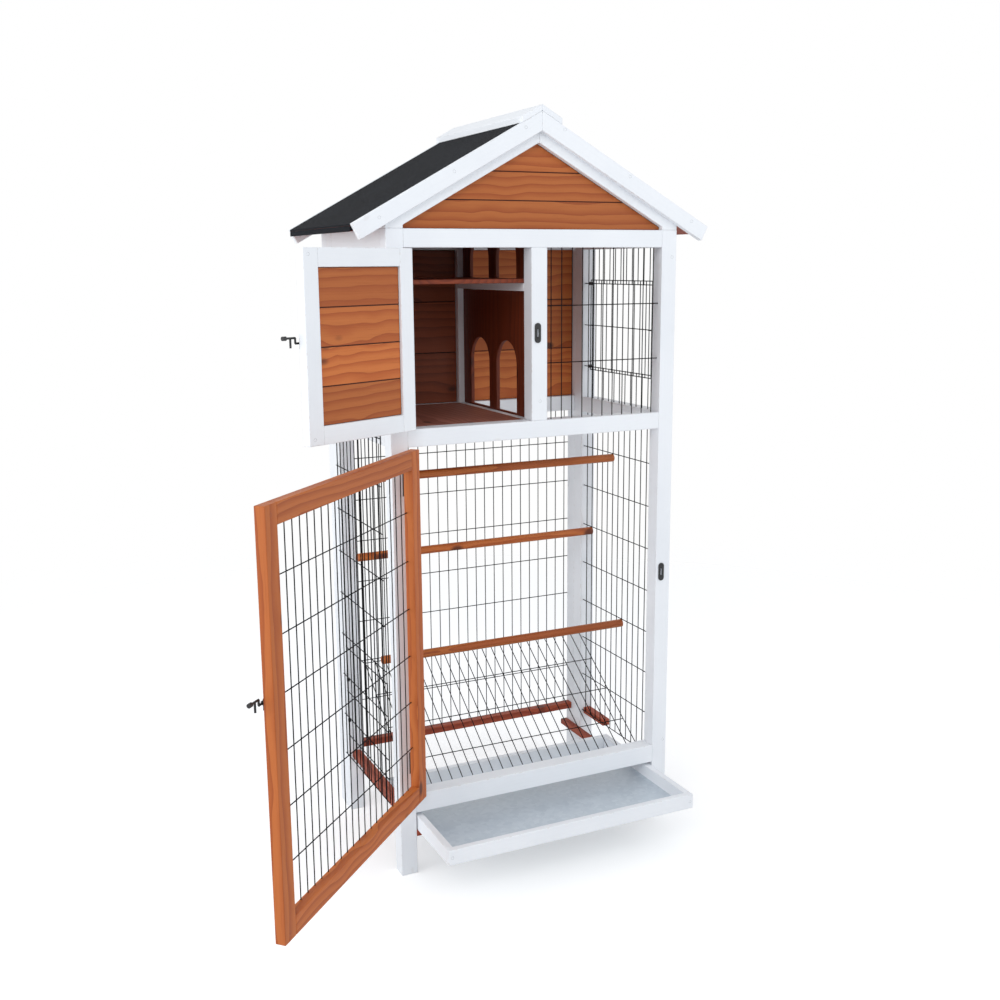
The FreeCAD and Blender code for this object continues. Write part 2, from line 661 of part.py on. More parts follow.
def door_hinges(door):
    """Two butt hinges: leaves with two knuckles on the post, leaves with one knuckle and the pin on the door."""
    data = DOORS[door]
    leaf_long = "(3 * knuckle_length + 2 * running_gap)"
    post_leaves, door_leaves = [], []
    for name, z in (("low", f"({data['low']} + hinge_inset)"),
                    ("high", f"({data['low']} + {data['height']} - hinge_inset - {leaf_long})")):
        tag = f"{door}_hinge_{name}"
        leaf = local(block(f"{tag}_post_leaf", "leaf_width", "leaf_thick", leaf_long), "-leaf_width",
                     "pin_forward - leaf_thick", z)
        relief = local(block(f"{tag}_relief", "2 * knuckle_radius", "4 * knuckle_radius",
                             "knuckle_length + 2 * running_gap"),
                       "-knuckle_radius - running_gap", "-2 * knuckle_radius", f"{z} + knuckle_length")
        ends = [local(rod(f"{tag}_knuckle_{count}", "knuckle_radius", "knuckle_length"), "0", "0",
                      f"{z} + {count} * (knuckle_length + running_gap)") for count in (0, 2)]
        bore = local(rod(f"{tag}_bore", "pin_radius + pin_play", f"{leaf_long} + 2 * overrun"), "0", "0",
                     f"{z} - overrun")
        post_leaves.append(cut(f"{tag}_post_half", fuse(f"{tag}_post_blank", [leaf] + ends), [relief, bore]))
        knuckle = local(rod(f"{tag}_door_knuckle", "knuckle_radius", "knuckle_length"), "0", "0",
                        f"{z} + knuckle_length + running_gap")
        flap = local(block(f"{tag}_door_leaf", "leaf_width", "leaf_thick", "knuckle_length"), "0",
                     "pin_forward - leaf_thick", f"{z} + knuckle_length + running_gap")
        pin = local(rod(f"{tag}_pin", "pin_radius", leaf_long), "0", "0", z)
        door_leaves.append(fuse(f"{tag}_door_half", [knuckle, flap, pin]))
    hang(bundle(f"{door}_door_hinges", door_leaves), f"{door}_door_hinges", door)
    return post_leaves


def door_latch(door):
    """Barrel plate on the outer face, and the hook that turns in it: crank, arm, tine and knob."""
    data = DOORS[door]
    edge = f"(door_gap + {data['width']})"
    axis_y = "(pin_forward - latch_forward)"
    height = data["latch"]
    reach = "(latch_offset + door_gap)"
    plate = local(block(f"{door}_latch_plate", "latch_base_width", "latch_plate", "latch_base_height"),
                  f"{edge} - latch_base_width - latch_plate", "pin_forward - latch_plate",
                  f"{height} - latch_base_height / 2")
    foot = f"{edge} - latch_base_width / 2 - latch_plate - latch_barrel_length / 2"
    barrel = local(rod(f"{door}_latch_barrel", "latch_barrel", "latch_barrel_length", "x"), foot, axis_y, height)
    web = local(block(f"{door}_latch_web", "latch_barrel_length", "latch_barrel", "2 * latch_barrel"), foot,
                axis_y, f"{height} - latch_barrel")
    bore = local(rod(f"{door}_latch_bore", "latch_rod + pin_play", "latch_barrel_length + 2 * overrun", "x"),
                 f"{foot} - overrun", axis_y, height)
    base = cut(f"{door}_latch_base_cut", fuse(f"{door}_latch_base_blank", [plate, barrel, web]), [bore])
    hang(bundle(f"{door}_latch_base", [base]), f"{door}_latch_base", door)
    top = f"({height} + latch_crank)"
    leg = f"({edge} + 2 * latch_rod)"
    shaft = local(rod(f"{door}_latch_shaft", "latch_rod", f"{leg} - ({foot}) + latch_plate", "x"),
                  f"{foot} - latch_plate", axis_y, height)
    collar = local(rod(f"{door}_latch_collar", "latch_barrel - running_gap", "latch_plate - running_gap", "x"),
                   f"{foot} - latch_plate", axis_y, height)
    crank = local(rod(f"{door}_latch_crank", "latch_rod", "latch_crank"), leg, axis_y, height)
    arm = local(rod(f"{door}_latch_arm", "latch_rod", f"{reach} - 2 * latch_rod + latch_arm", "x"), leg, axis_y, top)
    tine = local(rod(f"{door}_latch_tine", "latch_rod", "latch_crank + latch_reach"), f"{edge} + {reach}", axis_y,
                 f"{height} - latch_reach")
    knob = local(rod(f"{door}_latch_knob", "latch_knob", "2 * latch_knob", "x"),
                 f"{edge} + {reach} + latch_arm - latch_knob", axis_y, top)
    hook = fuse(f"{door}_latch_hook_body", [shaft, collar, crank, arm, tine, knob])
    hang(bundle(f"{door}_latch_hook", [hook]), f"{door}_latch_hook", door)


def tray():
    """Shallow timber tray with a metal sheet floor, pulled out towards the front on its runners."""
    inner = "(tray_width - 2 * tray_board)"
    left = "(timber + tray_side_gap)"
    boards = [bar("tray_front_board", left, "-tray_pull", "tray_low", "tray_width", "tray_board",
                  "tray_board_height"),
              bar("tray_back_board", f"{left} + tray_board", "tray_depth - tray_board - tray_pull", "tray_low",
                  inner, "tray_board", "tray_board_height")]
    boards += [bar(f"tray_{side}_board", x, "tray_board - tray_pull", "tray_low", "tray_board",
                   "tray_depth - tray_board", "tray_board_height")
               for side, x in (("left", left), ("right", f"{left} + tray_width - tray_board"))]
    keep(bundle("tray_boards", boards), "tray_boards")
    timber_bar("tray_sheet", f"{left} + tray_board", "tray_board - tray_pull", "tray_low + tray_sheet_lift",
               inner, "tray_depth - 2 * tray_board", "tray_sheet")
    runners = [place(block(f"tray_runner_{name}", "runner_width", "cabinet_depth", "runner_height"), x, "0",
                     "tray_low - running_gap - runner_height")
               for name, x in (("left", "timber"), ("right", "cabinet_width - timber - runner_width"))]
    keep(bundle("tray_runners", runners), "tray_runners")


side_frames()
cross_frames()
keepers = [mortised_post("right_front_post", "inner_wire", "0", "top_top", "flight", "inner_wire"),
           mortised_post("front_middle_post", "mid_left", "mid_top", "nest_height", "nest", "mid_left")]
keep(bundle("latch_keepers", keepers), "latch_keepers")
plank_wall("left_nest_wall", "(timber - board) / 2", "timber", "mid_top", "board", "rear_stile - timber",
           "nest_height", 3)
plank_wall("nest_back_wall", "timber", "back_frame + (timber - board) / 2", "mid_top",
           "mid_left - timber", "board", "nest_height", 3)
plank_wall("window_back_wall", "mid_right", "back_frame + (timber - board) / 2", "mid_top",
           "inner_wire - mid_right", "board", "nest_height", 3)
for end, frame_y in (("front", "0"), ("back", "back_frame")):
    gable_panel(f"{end}_gable", f"{frame_y} + (timber - board) / 2")
    rafters(f"{end}_rafters", frame_y)
roof()
cage_wire()
wire_floor()
perches()
nest_box()
post_leaves = []
for door_name in DOORS:
    door_frame(door_name)
    post_leaves += door_hinges(door_name)
    door_latch(door_name)
keep(place(bundle("post_hinges", post_leaves), "timber", "-pin_forward", "0"), "post_hinges")
nest_door_panel()
flight_door_wire()
tray()
wire_gate("left", -1)
wire_gate("right", 1)

doc.recompute()
os.makedirs("parts", exist_ok=True)
for piece in PIECES:
    if {"Invalid", "Error"} & set(piece.State):
        raise RuntimeError(f"{piece.Label} failed: {piece.State}")
    if piece.Shape.isNull() or not piece.Shape.isValid():
        raise RuntimeError(f"{piece.Label} has no valid shape")
for piece in PIECES:
    piece.Shape.exportStep(f"parts/{piece.Label}.step")
print(len(PIECES), "sub-parts,", sum(len(piece.Shape.Solids) for piece in PIECES), "solids")
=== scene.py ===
"""Tall timber bird cage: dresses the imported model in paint, stained fir, felt and wire."""
import json
import logging
import math
import random
from dataclasses import dataclass, field
from enum import Enum
from functools import cache
from typing import Callable, Iterable, Iterator, Sequence, Union

import bmesh
import bpy
from bmesh.types import BMesh
from bpy.types import Material, Mesh, Node, NodeOutputs, NodeSocket, NodeTree
from mathutils import Matrix, Vector

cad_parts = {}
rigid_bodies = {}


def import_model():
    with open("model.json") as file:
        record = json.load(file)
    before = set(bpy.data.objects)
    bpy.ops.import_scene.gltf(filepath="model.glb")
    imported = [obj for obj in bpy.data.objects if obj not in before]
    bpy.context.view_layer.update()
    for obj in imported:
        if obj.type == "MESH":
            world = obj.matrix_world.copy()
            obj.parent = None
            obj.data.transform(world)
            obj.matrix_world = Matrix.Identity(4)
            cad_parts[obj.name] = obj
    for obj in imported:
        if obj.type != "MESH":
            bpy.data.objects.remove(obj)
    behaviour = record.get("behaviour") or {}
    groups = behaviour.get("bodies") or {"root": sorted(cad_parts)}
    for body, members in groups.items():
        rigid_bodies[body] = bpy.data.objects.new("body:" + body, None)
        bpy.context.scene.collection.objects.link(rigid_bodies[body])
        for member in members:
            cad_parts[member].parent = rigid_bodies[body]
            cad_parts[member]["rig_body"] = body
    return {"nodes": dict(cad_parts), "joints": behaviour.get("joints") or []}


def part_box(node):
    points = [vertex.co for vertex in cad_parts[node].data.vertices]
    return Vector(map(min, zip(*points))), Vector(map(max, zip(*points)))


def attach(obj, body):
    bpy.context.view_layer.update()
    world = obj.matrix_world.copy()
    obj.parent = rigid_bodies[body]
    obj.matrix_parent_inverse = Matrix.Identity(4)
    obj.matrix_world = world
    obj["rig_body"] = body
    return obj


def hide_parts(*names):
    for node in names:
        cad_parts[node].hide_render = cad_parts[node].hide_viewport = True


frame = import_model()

LOG = logging.getLogger("bird_cage")
MM = 0.001
WIRE = 2.2 * MM
MERGE_DISTANCE = 1e-6
FLAT_ANGLE = math.radians(0.6)
SHARP_ANGLE = math.radians(28)
RIGHT, BACK, UP = Vector((1, 0, 0)), Vector((0, 1, 0)), Vector((0, 0, 1))

Colour = tuple[float, float, float, float]
Triple = tuple[float, float, float]
Pair = tuple[float, float]
Hatch = tuple[tuple[int, int], tuple[int, int]]
SocketValue = Union[NodeSocket, float, Sequence[float]]


def linear(red: int, green: int, blue: int) -> Colour:
    """Turn a screen colour into the shader's linear colour.

    Args:
        red: Red from 0 to 255.
        green: Green from 0 to 255.
        blue: Blue from 0 to 255.

    Returns:
        Linear red, green, blue and an alpha of 1.
    """
    def channel(value: int) -> float:
        """Turn one channel by the usual screen curve."""
        share = value / 255
        return share / 12.92 if share <= 0.04045 else ((share + 0.055) / 1.055) ** 2.4

    return channel(red), channel(green), channel(blue), 1.0


class Slot(Enum):
    """Material slots of the record, listed for the scene's own pieces but not given to them."""

    WHITE = "white"
    PANEL = "stained_panel"
    BARE = "bare_wood"
    BROWN = "brown_wood"
    WIRE = "black_wire"
    SHEET = "galvanised"


class Finish(Enum):
    """Finishes of the cage."""

    WHITE = "white paint"
    PANEL = "stained panel"
    # Painted shade: the nest's partition and shelf get a darker copy of the stain, for the shade
    # inside the nest.
    INSIDE = "inside boards"
    # Painted shade: a darker copy of the stain on the faces of the nest's back wall that look into
    # the nest.
    SHADED = "inner face of the nest's back wall"
    BARE = "door and perch timber"
    FLOOR = "nest floor"
    BROWN = "brown battens and roof boards"
    FELT = "roof felt"
    WIRE = "coated wire"
    IRON = "black iron"
    ZINC = "zinc"
    SHEET = "tray sheet"


class NodeBench:
    """A node tree with short calls for its nodes."""

    def __init__(self, tree: NodeTree) -> None:
        """Empty the tree that the nodes go into."""
        self.tree = tree
        tree.nodes.clear()

    def feed(self, target: Node, inputs: dict[str | int, SocketValue]) -> None:
        """Link or set a node's inputs.

        Args:
            target: The node.
            inputs: Socket name or number to a value or to the socket that feeds it.
        """
        for key, value in inputs.items():
            if isinstance(value, NodeSocket):
                self.tree.links.new(value, target.inputs[key])
            else:
                target.inputs[key].default_value = value

    def node(self, kind: str, inputs: dict[str | int, SocketValue] | None = None,
             **settings: object) -> Node:
        """Add a node, set it up and feed it.

        Args:
            kind: The node's type name.
            inputs: Socket name or number to a value or to the socket that feeds it.
            **settings: The node's own properties.

        Returns:
            The new node.
        """
        made = self.tree.nodes.new(kind)
        for name, value in settings.items():
            setattr(made, name, value)
        self.feed(made, inputs or {})
        return made

    def math(self, operation: str, first: SocketValue, second: SocketValue = 0.0,
             third: SocketValue = 0.0, clamp: bool = False) -> NodeSocket:
        """Add a Math node.

        Args:
            operation: Its operation.
            first: First value or socket.
            second: Second value or socket.
            third: Third value or socket.
            clamp: Keep the result between 0 and 1.

        Returns:
            The result's socket.
        """
        return self.node("ShaderNodeMath", {0: first, 1: second, 2: third},
                         operation=operation, use_clamp=clamp).outputs[0]

    def scaled(self, vector: SocketValue, factors: Sequence[float]) -> NodeSocket:
        """Multiply a vector by one factor for each axis."""
        return self.node("ShaderNodeVectorMath", {0: vector, 1: factors},
                         operation="MULTIPLY").outputs[0]

    def band(self, value: SocketValue, limits: Pair) -> NodeSocket:
        """Rise smoothly from 0 to 1 between two values."""
        ends = {"Value": value, "From Min": limits[0], "From Max": limits[1]}
        return self.node("ShaderNodeMapRange", ends,
                         interpolation_type="SMOOTHSTEP").outputs["Result"]

    def noise(self, vector: SocketValue, scale: SocketValue, detail: float = 3.0,
              rough: float = 0.5) -> NodeSocket:
        """Add a noise texture and give its value."""
        return self.node("ShaderNodeTexNoise", {
            "Vector": vector, "Scale": scale, "Detail": detail, "Roughness": rough}).outputs["Fac"]

    def mix(self, factor: SocketValue, first: SocketValue, second: SocketValue) -> NodeSocket:
        """Mix two colours.

        Args:
            factor: Share of the second colour.
            first: First colour or socket.
            second: Second colour or socket.

        Returns:
            The mixed colour's socket.
        """
        return self.node("ShaderNodeMix", {0: factor, 6: first, 7: second},
                         data_type="RGBA").outputs[2]

    def layer(self, base: SocketValue, mask: SocketValue, share: float,
              colour: Colour) -> NodeSocket:
        """Lay a colour over another where a mask shows, at a share of its strength."""
        return self.mix(self.math("MULTIPLY", mask, share), base, colour)

    def attribute(self, name: str, output: str = "Fac") -> NodeSocket:
        """Read a mesh attribute."""
        return self.node("ShaderNodeAttribute", attribute_name=name).outputs[output]

    def placed(self) -> NodeSocket:
        """Read Object coordinates."""
        return self.node("ShaderNodeTexCoord").outputs["Object"]

    def line(self, value: SocketValue, slope: float, base: SocketValue) -> NodeSocket:
        """Give a value times a slope, plus a base."""
        return self.math("MULTIPLY_ADD", value, slope, base)

    def group(self, tree: NodeTree, inputs: dict[str, SocketValue]) -> NodeOutputs:
        """Place a node group and give its outputs."""
        return self.node("ShaderNodeGroup", inputs, node_tree=tree).outputs

    def relief(self, height: SocketValue, size: Pair) -> NodeSocket:
        """Turn a height into a normal, at a strength and a depth."""
        return self.node("ShaderNodeBump", {
            "Strength": size[0], "Distance": size[1], "Height": height}).outputs[0]


def new_group(name: str, inputs: dict[str, tuple[str, float | None]],
              outputs: Sequence[str]) -> tuple[NodeBench, Node, Node]:
    """Start a shader node group with named sockets.

    Args:
        name: The group's name.
        inputs: Input name to socket type and default.
        outputs: Names of the outputs, which are all values.

    Returns:
        The bench, the input node and the output node.
    """
    tree = bpy.data.node_groups.new(name, "ShaderNodeTree")
    for label, (kind, default) in inputs.items():
        socket = tree.interface.new_socket(label, in_out="INPUT", socket_type=f"NodeSocket{kind}")
        if default is not None:
            socket.default_value = default
    for label in outputs:
        tree.interface.new_socket(label, in_out="OUTPUT", socket_type="NodeSocketFloat")
    bench = NodeBench(tree)
    return bench, bench.node("NodeGroupInput"), bench.node("NodeGroupOutput")


@dataclass(frozen=True)
class FirGrain:
    """Shared effect: year rings, fibres and knots along a board's own length."""

    knot_spacing: Triple = (7.0, 13.0, 6.0)
    knot_band: Pair = (0.45, 1.1)
    swirl_band: Pair = (0.04, 0.45)
    swirl: float = 0.012
    drift_spacing: Triple = (1.6, 5.0, 5.0)
    drift: Triple = (0.0, 0.034, 0.024)
    distortion: float = 2.2
    fibre_spacing: Triple = (9.0, 420.0, 420.0)
    fibre_rough: float = 0.65

    @cache
    def build(self) -> NodeTree:
        """Make the group, with the outputs Rings, Fibre and Knots."""
        bench, source, target = new_group(
            "fir grain", {"Vector": ("Vector", None), "Ring Scale": ("Float", 60.0),
                          "Knot Size": ("Float", 0.1)}, ("Rings", "Fibre", "Knots"))
        coords = source.outputs["Vector"]
        cell = bench.node("ShaderNodeTexVoronoi", {
            "Vector": bench.scaled(coords, self.knot_spacing), "Scale": 1.0}).outputs["Distance"]
        reach = bench.math("DIVIDE", cell, source.outputs["Knot Size"])
        knots = bench.math("SUBTRACT", 1.0, bench.band(reach, self.knot_band))
        swirl = bench.math("SUBTRACT", 1.0, bench.band(cell, self.swirl_band))
        wander = bench.node("ShaderNodeTexNoise", {
            "Vector": bench.scaled(coords, self.drift_spacing), "Scale": 1.0,
            "Detail": 2.0}).outputs["Color"]
        bent = bench.node("ShaderNodeVectorMath", {0: wander, 1: self.drift, 2: coords},
                          operation="MULTIPLY_ADD").outputs[0]
        pushed = bench.node("ShaderNodeCombineXYZ", {
            "Y": bench.math("MULTIPLY", swirl, self.swirl)}).outputs[0]
        bent = bench.node("ShaderNodeVectorMath", {0: bent, 1: pushed}, operation="ADD").outputs[0]
        rings = bench.node("ShaderNodeTexWave", {
            "Vector": bent, "Scale": source.outputs["Ring Scale"], "Distortion": self.distortion,
            "Detail": 2.0, "Detail Scale": 0.4},
            wave_type="RINGS", rings_direction="X", wave_profile="SAW").outputs["Fac"]
        fibre = bench.noise(bench.scaled(coords, self.fibre_spacing), 1.0, 4.0, self.fibre_rough)
        bench.feed(target, {"Rings": rings, "Fibre": fibre, "Knots": knots})
        return bench.tree


@dataclass(frozen=True)
class Handling:
    """Shared effect: uneven wear in broad patches and on worn edges."""

    patch_detail: float = 5.0
    patch_band: Pair = (0.35, 0.75)
    chip_scale: float = 95.0
    chip_rough: float = 0.7
    chip_band: Pair = (0.52, 0.62)

    @cache
    def build(self) -> NodeTree:
        """Make the group, with the outputs Patch and Edge."""
        bench, source, target = new_group(
            "handling", {"Vector": ("Vector", None), "Worn": ("Float", 0.0),
                         "Patch Scale": ("Float", 6.0)}, ("Patch", "Edge"))
        coords = source.outputs["Vector"]
        patch = bench.noise(coords, source.outputs["Patch Scale"], self.patch_detail)
        chips = bench.noise(coords, self.chip_scale, 4.0, self.chip_rough)
        edge = bench.math("MULTIPLY", bench.band(chips, self.chip_band), source.outputs["Worn"],
                          clamp=True)
        bench.feed(target, {"Patch": bench.band(patch, self.patch_band), "Edge": edge})
        return bench.tree


def new_material(name: str) -> tuple[Material, NodeBench]:
    """Start an empty node material, and give it with its bench."""
    material = bpy.data.materials.new(name)
    material.use_nodes = True
    return material, NodeBench(material.node_tree)


def new_surface(name: str) -> tuple[Material, NodeBench, Node]:
    """Start a material with a Principled BSDF on its output.

    Args:
        name: The material's name.

    Returns:
        The material, its bench and the shader.
    """
    material, bench = new_material(name)
    shader = bench.node("ShaderNodeBsdfPrincipled")
    bench.node("ShaderNodeOutputMaterial", {"Surface": shader.outputs[0]})
    return material, bench, shader


@dataclass(frozen=True)
class StainedFir:
    """Clear-stained fir boards with rings, fibres and dark knots."""

    name: str
    light: Colour
    middle: Colour
    dark: Colour
    knot: Colour
    # Painted shade: a colour laid on the bevelled edges for the shadow in the grooves between
    # boards.
    painted_groove_shade: Colour | None = None
    rough: float = 0.55
    ring_scale: float = 22.0
    knot_size: float = 0.14
    ring_band: Pair = (0.25, 0.98)
    late_band: Pair = (0.84, 1.0)
    late_share: float = 0.26
    fibre_band: Pair = (0.5, 0.75)
    fibre_share: float = 0.28
    patch_spacing: Triple = (2.2, 9.0, 9.0)
    patch_band: Pair = (0.4, 0.75)
    patch_share: float = 0.4
    knot_share: float = 0.9
    edge_share: float = 0.35
    tone_span: float = 0.42
    tone_base: float = 0.79
    rough_span: float = 0.22
    rough_drop: float = 0.1
    ring_height: float = -0.5
    relief: Pair = (0.35, 0.6 * MM)
    specular: float = 0.35

    def build(self) -> Material:
        """Make the material, which reads the attributes grain, tone and worn."""
        material, bench, shader = new_surface(self.name)
        coords = bench.attribute("grain", "Vector")
        worn = bench.attribute("worn")
        grain = bench.group(FirGrain().build(), {
            "Vector": coords, "Ring Scale": self.ring_scale, "Knot Size": self.knot_size})
        rings, fibre, knots = (grain[label] for label in ("Rings", "Fibre", "Knots"))
        patch = bench.noise(bench.scaled(coords, self.patch_spacing), 1.0, 2.0)
        base = bench.mix(bench.band(rings, self.ring_band), self.light, self.middle)
        for mask, share, colour in (
                (bench.band(rings, self.late_band), self.late_share, self.dark),
                (bench.band(fibre, self.fibre_band), self.fibre_share, self.dark),
                (bench.band(patch, self.patch_band), self.patch_share, self.middle),
                (knots, self.knot_share, self.knot)):
            base = bench.layer(base, mask, share, colour)
        level = bench.line(bench.attribute("tone"), self.tone_span, self.tone_base)
        base = bench.node("ShaderNodeVectorMath", {0: base, "Scale": level},
                          operation="SCALE").outputs[0]
        # Painted shade: with a groove colour, the bevelled faces (marked worn) are darkened as the
        # shadow in the grooves between boards; without it they get edge wear.
        if self.painted_groove_shade:
            base = bench.mix(worn, base, self.painted_groove_shade)
        else:
            edge = bench.group(Handling().build(), {"Vector": coords, "Worn": worn})["Edge"]
            base = bench.layer(base, edge, self.edge_share, self.light)
        height = bench.line(rings, self.ring_height, fibre)
        bench.feed(shader, {
            "Base Color": base,
            "Roughness": bench.line(fibre, self.rough_span, self.rough - self.rough_drop),
            "Specular IOR Level": self.specular,
            "Normal": bench.relief(height, self.relief)})
        return material


@dataclass(frozen=True)
class PaintedFir:
    """Thin satin paint over fir: faint grain, and edges and patches that are a little grey."""

    name: str
    coat: Colour
    shade: Colour
    bare: Colour
    rough: float = 0.42
    ring_scale: float = 45.0
    knot_size: float = 0.08
    patch_share: float = 0.35
    ring_band: Pair = (0.75, 1.0)
    ring_share: float = 0.10
    knot_share: float = 0.12
    edge_share: float = 0.22
    rough_span: float = 0.15
    rough_drop: float = 0.07
    ring_height: float = -0.4
    relief: Pair = (0.22, 0.5 * MM)

    def build(self) -> Material:
        """Make the material, which reads the attributes grain and worn."""
        material, bench, shader = new_surface(self.name)
        coords = bench.attribute("grain", "Vector")
        grain = bench.group(FirGrain().build(), {
            "Vector": coords, "Ring Scale": self.ring_scale, "Knot Size": self.knot_size})
        rings, fibre, knots = (grain[label] for label in ("Rings", "Fibre", "Knots"))
        wear = bench.group(Handling().build(), {
            "Vector": coords, "Worn": bench.attribute("worn")})
        base = self.coat
        for mask, share, colour in (
                (wear["Patch"], self.patch_share, self.shade),
                (bench.band(rings, self.ring_band), self.ring_share, self.shade),
                (knots, self.knot_share, self.bare),
                (wear["Edge"], self.edge_share, self.bare)):
            base = bench.layer(base, mask, share, colour)
        height = bench.line(rings, self.ring_height, fibre)
        bench.feed(shader, {
            "Base Color": base,
            "Roughness": bench.line(fibre, self.rough_span, self.rough - self.rough_drop),
            "Normal": bench.relief(height, self.relief)})
        return material


@dataclass(frozen=True)
class MineralFelt:
    """Charcoal roofing felt with mineral grit."""

    name: str = "mineral felt"
    ground: Colour = linear(12, 14, 19)
    grit: Colour = linear(32, 36, 44)
    grain_scale: float = 620.0
    grain_band: Pair = (0.55, 1.0)
    grain_share: float = 0.75
    patch_scale: float = 9.0
    patch_band: Pair = (0.4, 0.8)
    patch_share: float = 0.3
    rough: float = 0.95
    rough_span: float = -0.12
    hollow: float = 0.6
    relief: Pair = (0.6, 1.2 * MM)
    specular: float = 0.15

    def build(self) -> Material:
        """Make the material, in Object coordinates."""
        material, bench, shader = new_surface(self.name)
        coords = bench.placed()
        grains = bench.node("ShaderNodeTexVoronoi", {"Vector": coords, "Scale": self.grain_scale})
        tint = bench.node("ShaderNodeSeparateColor", {0: grains.outputs["Color"]}).outputs[0]
        patch = bench.noise(coords, self.patch_scale, 5.0, 0.6)
        base = bench.layer(self.ground, bench.band(tint, self.grain_band), self.grain_share,
                           self.grit)
        base = bench.layer(base, bench.band(patch, self.patch_band), self.patch_share, self.grit)
        dip = bench.math("MULTIPLY", grains.outputs["Distance"], self.hollow)
        bench.feed(shader, {
            "Base Color": base,
            "Roughness": bench.line(tint, self.rough_span, self.rough),
            "Specular IOR Level": self.specular,
            "Normal": bench.relief(bench.math("SUBTRACT", tint, dip), self.relief)})
        return material


@dataclass(frozen=True)
class CoatedMetal:
    """Painted or plastic-coated metal with slight unevenness."""

    name: str
    coat: Colour
    worn: Colour
    rough: float = 0.4
    metallic: float = 0.0
    patch_scale: float = 60.0
    shine: float = 0.5
    worn_share: float = 0.5
    rough_span: float = 0.18
    grain_scale: float = 380.0
    relief: Pair = (0.15, 0.4 * MM)

    def build(self) -> Material:
        """Make the material, in Object coordinates."""
        material, bench, shader = new_surface(self.name)
        coords = bench.placed()
        patch = bench.group(Handling().build(), {
            "Vector": coords, "Patch Scale": self.patch_scale})["Patch"]
        bench.feed(shader, {
            "Base Color": bench.layer(self.coat, patch, self.worn_share, self.worn),
            "Roughness": bench.line(patch, self.rough_span, self.rough),
            "Metallic": self.metallic,
            "Specular IOR Level": self.shine,
            "Normal": bench.relief(bench.noise(coords, self.grain_scale), self.relief)})
        return material


@dataclass(frozen=True)
class GalvanisedSheet:
    """Zinc-coated sheet with faint crystals."""

    name: str = "galvanised sheet"
    light: Colour = linear(222, 230, 236)
    dark: Colour = linear(186, 198, 208)
    crystal_scale: float = 95.0
    crystal_share: float = 0.35
    cloud_scale: float = 7.0
    cloud_share: float = 0.6
    rough: float = 0.36
    rough_span: float = 0.16
    metallic: float = 0.45
    relief: Pair = (0.12, 1.0 * MM)

    def build(self) -> Material:
        """Make the material, in Object coordinates."""
        material, bench, shader = new_surface(self.name)
        coords = bench.placed()
        crystals = bench.node("ShaderNodeTexVoronoi", {
            "Vector": coords, "Scale": self.crystal_scale})
        tint = bench.node("ShaderNodeSeparateColor", {0: crystals.outputs["Color"]}).outputs[0]
        cloud = bench.noise(coords, self.cloud_scale, 5.0)
        blend = bench.math("MULTIPLY_ADD", tint, self.crystal_share,
                           bench.math("MULTIPLY", cloud, self.cloud_share), clamp=True)
        bench.feed(shader, {
            "Base Color": bench.mix(blend, self.dark, self.light),
            "Roughness": bench.line(tint, self.rough_span, self.rough),
            "Metallic": self.metallic,
            "Normal": bench.relief(cloud, self.relief)})
        return material


def make_finishes() -> dict[Finish, Material]:
    """Build every material once, and give each with its finish."""
    recipes = {
        Finish.WHITE: PaintedFir(
            "white paint on fir", linear(238, 241, 245), linear(222, 226, 232),
            linear(176, 150, 124)),
        # The panel's groove colour is painted shade in the grooves between the boards.
        Finish.PANEL: StainedFir(
            "stained panel", linear(188, 106, 50), linear(168, 84, 35), linear(124, 54, 20),
            linear(62, 22, 9), painted_groove_shade=linear(78, 32, 13)),
        # Painted shade: the partition and shelf are stained like the panels, but made darker for
        # the shade inside the nest.
        Finish.INSIDE: StainedFir(
            "inside boards", linear(118, 50, 24), linear(98, 37, 16), linear(66, 22, 10),
            linear(44, 16, 8)),
        # Painted shade on the inward faces of the nest's back wall, with a still darker painted
        # shade in its grooves.
        Finish.SHADED: StainedFir(
            "nest back boards in painted shade", linear(138, 66, 32), linear(116, 50, 22), linear(78, 28, 12),
            linear(48, 18, 8), painted_groove_shade=linear(44, 16, 8)),
        Finish.BARE: StainedFir(
            "door timber", linear(178, 98, 44), linear(158, 78, 31), linear(118, 52, 19),
            linear(80, 32, 12), rough=0.5),
        Finish.FLOOR: StainedFir(
            "nest floor boards", linear(164, 108, 92), linear(144, 88, 74), linear(106, 62, 50),
            linear(74, 40, 30)),
        Finish.BROWN: StainedFir(
            "brown battens", linear(160, 74, 48), linear(136, 58, 38), linear(96, 36, 24),
            linear(60, 22, 14)),
        Finish.FELT: MineralFelt(),
        Finish.WIRE: CoatedMetal(
            "black coated wire", linear(8, 9, 12), linear(16, 18, 22), rough=0.6, shine=0.12),
        Finish.IRON: CoatedMetal("black iron", linear(24, 24, 26), linear(46, 46, 50), rough=0.35),
        Finish.ZINC: CoatedMetal(
            "zinc screws", linear(92, 96, 102), linear(60, 62, 66), rough=0.45, metallic=0.4),
        Finish.SHEET: GalvanisedSheet(),
    }
    return {finish: recipe.build() for finish, recipe in recipes.items()}


def closed_runs(data: Mesh) -> Iterator[set[int]]:
    """Part a node's faces into its solids, also where solids touch.

    A solid's faces follow each other, and the run ends when each edge has met its opposite.

    Args:
        data: The node's mesh.

    Yields:
        The numbers of one solid's faces.
    """
    unmatched: set[tuple] = set()
    run: set[int] = set()
    for face in data.polygons:
        corners = [tuple(round(axis, 6) for axis in data.vertices[index].co)
                   for index in face.vertices]
        for start, end in zip(corners, corners[1:] + corners[:1]):
            if (end, start) in unmatched:
                unmatched.discard((end, start))
            else:
                unmatched.add((start, end))
        run.add(face.index)
        if not unmatched:
            yield run
            run = set()
    if run:
        LOG.warning("a solid of %s stays open", data.name)
        yield run


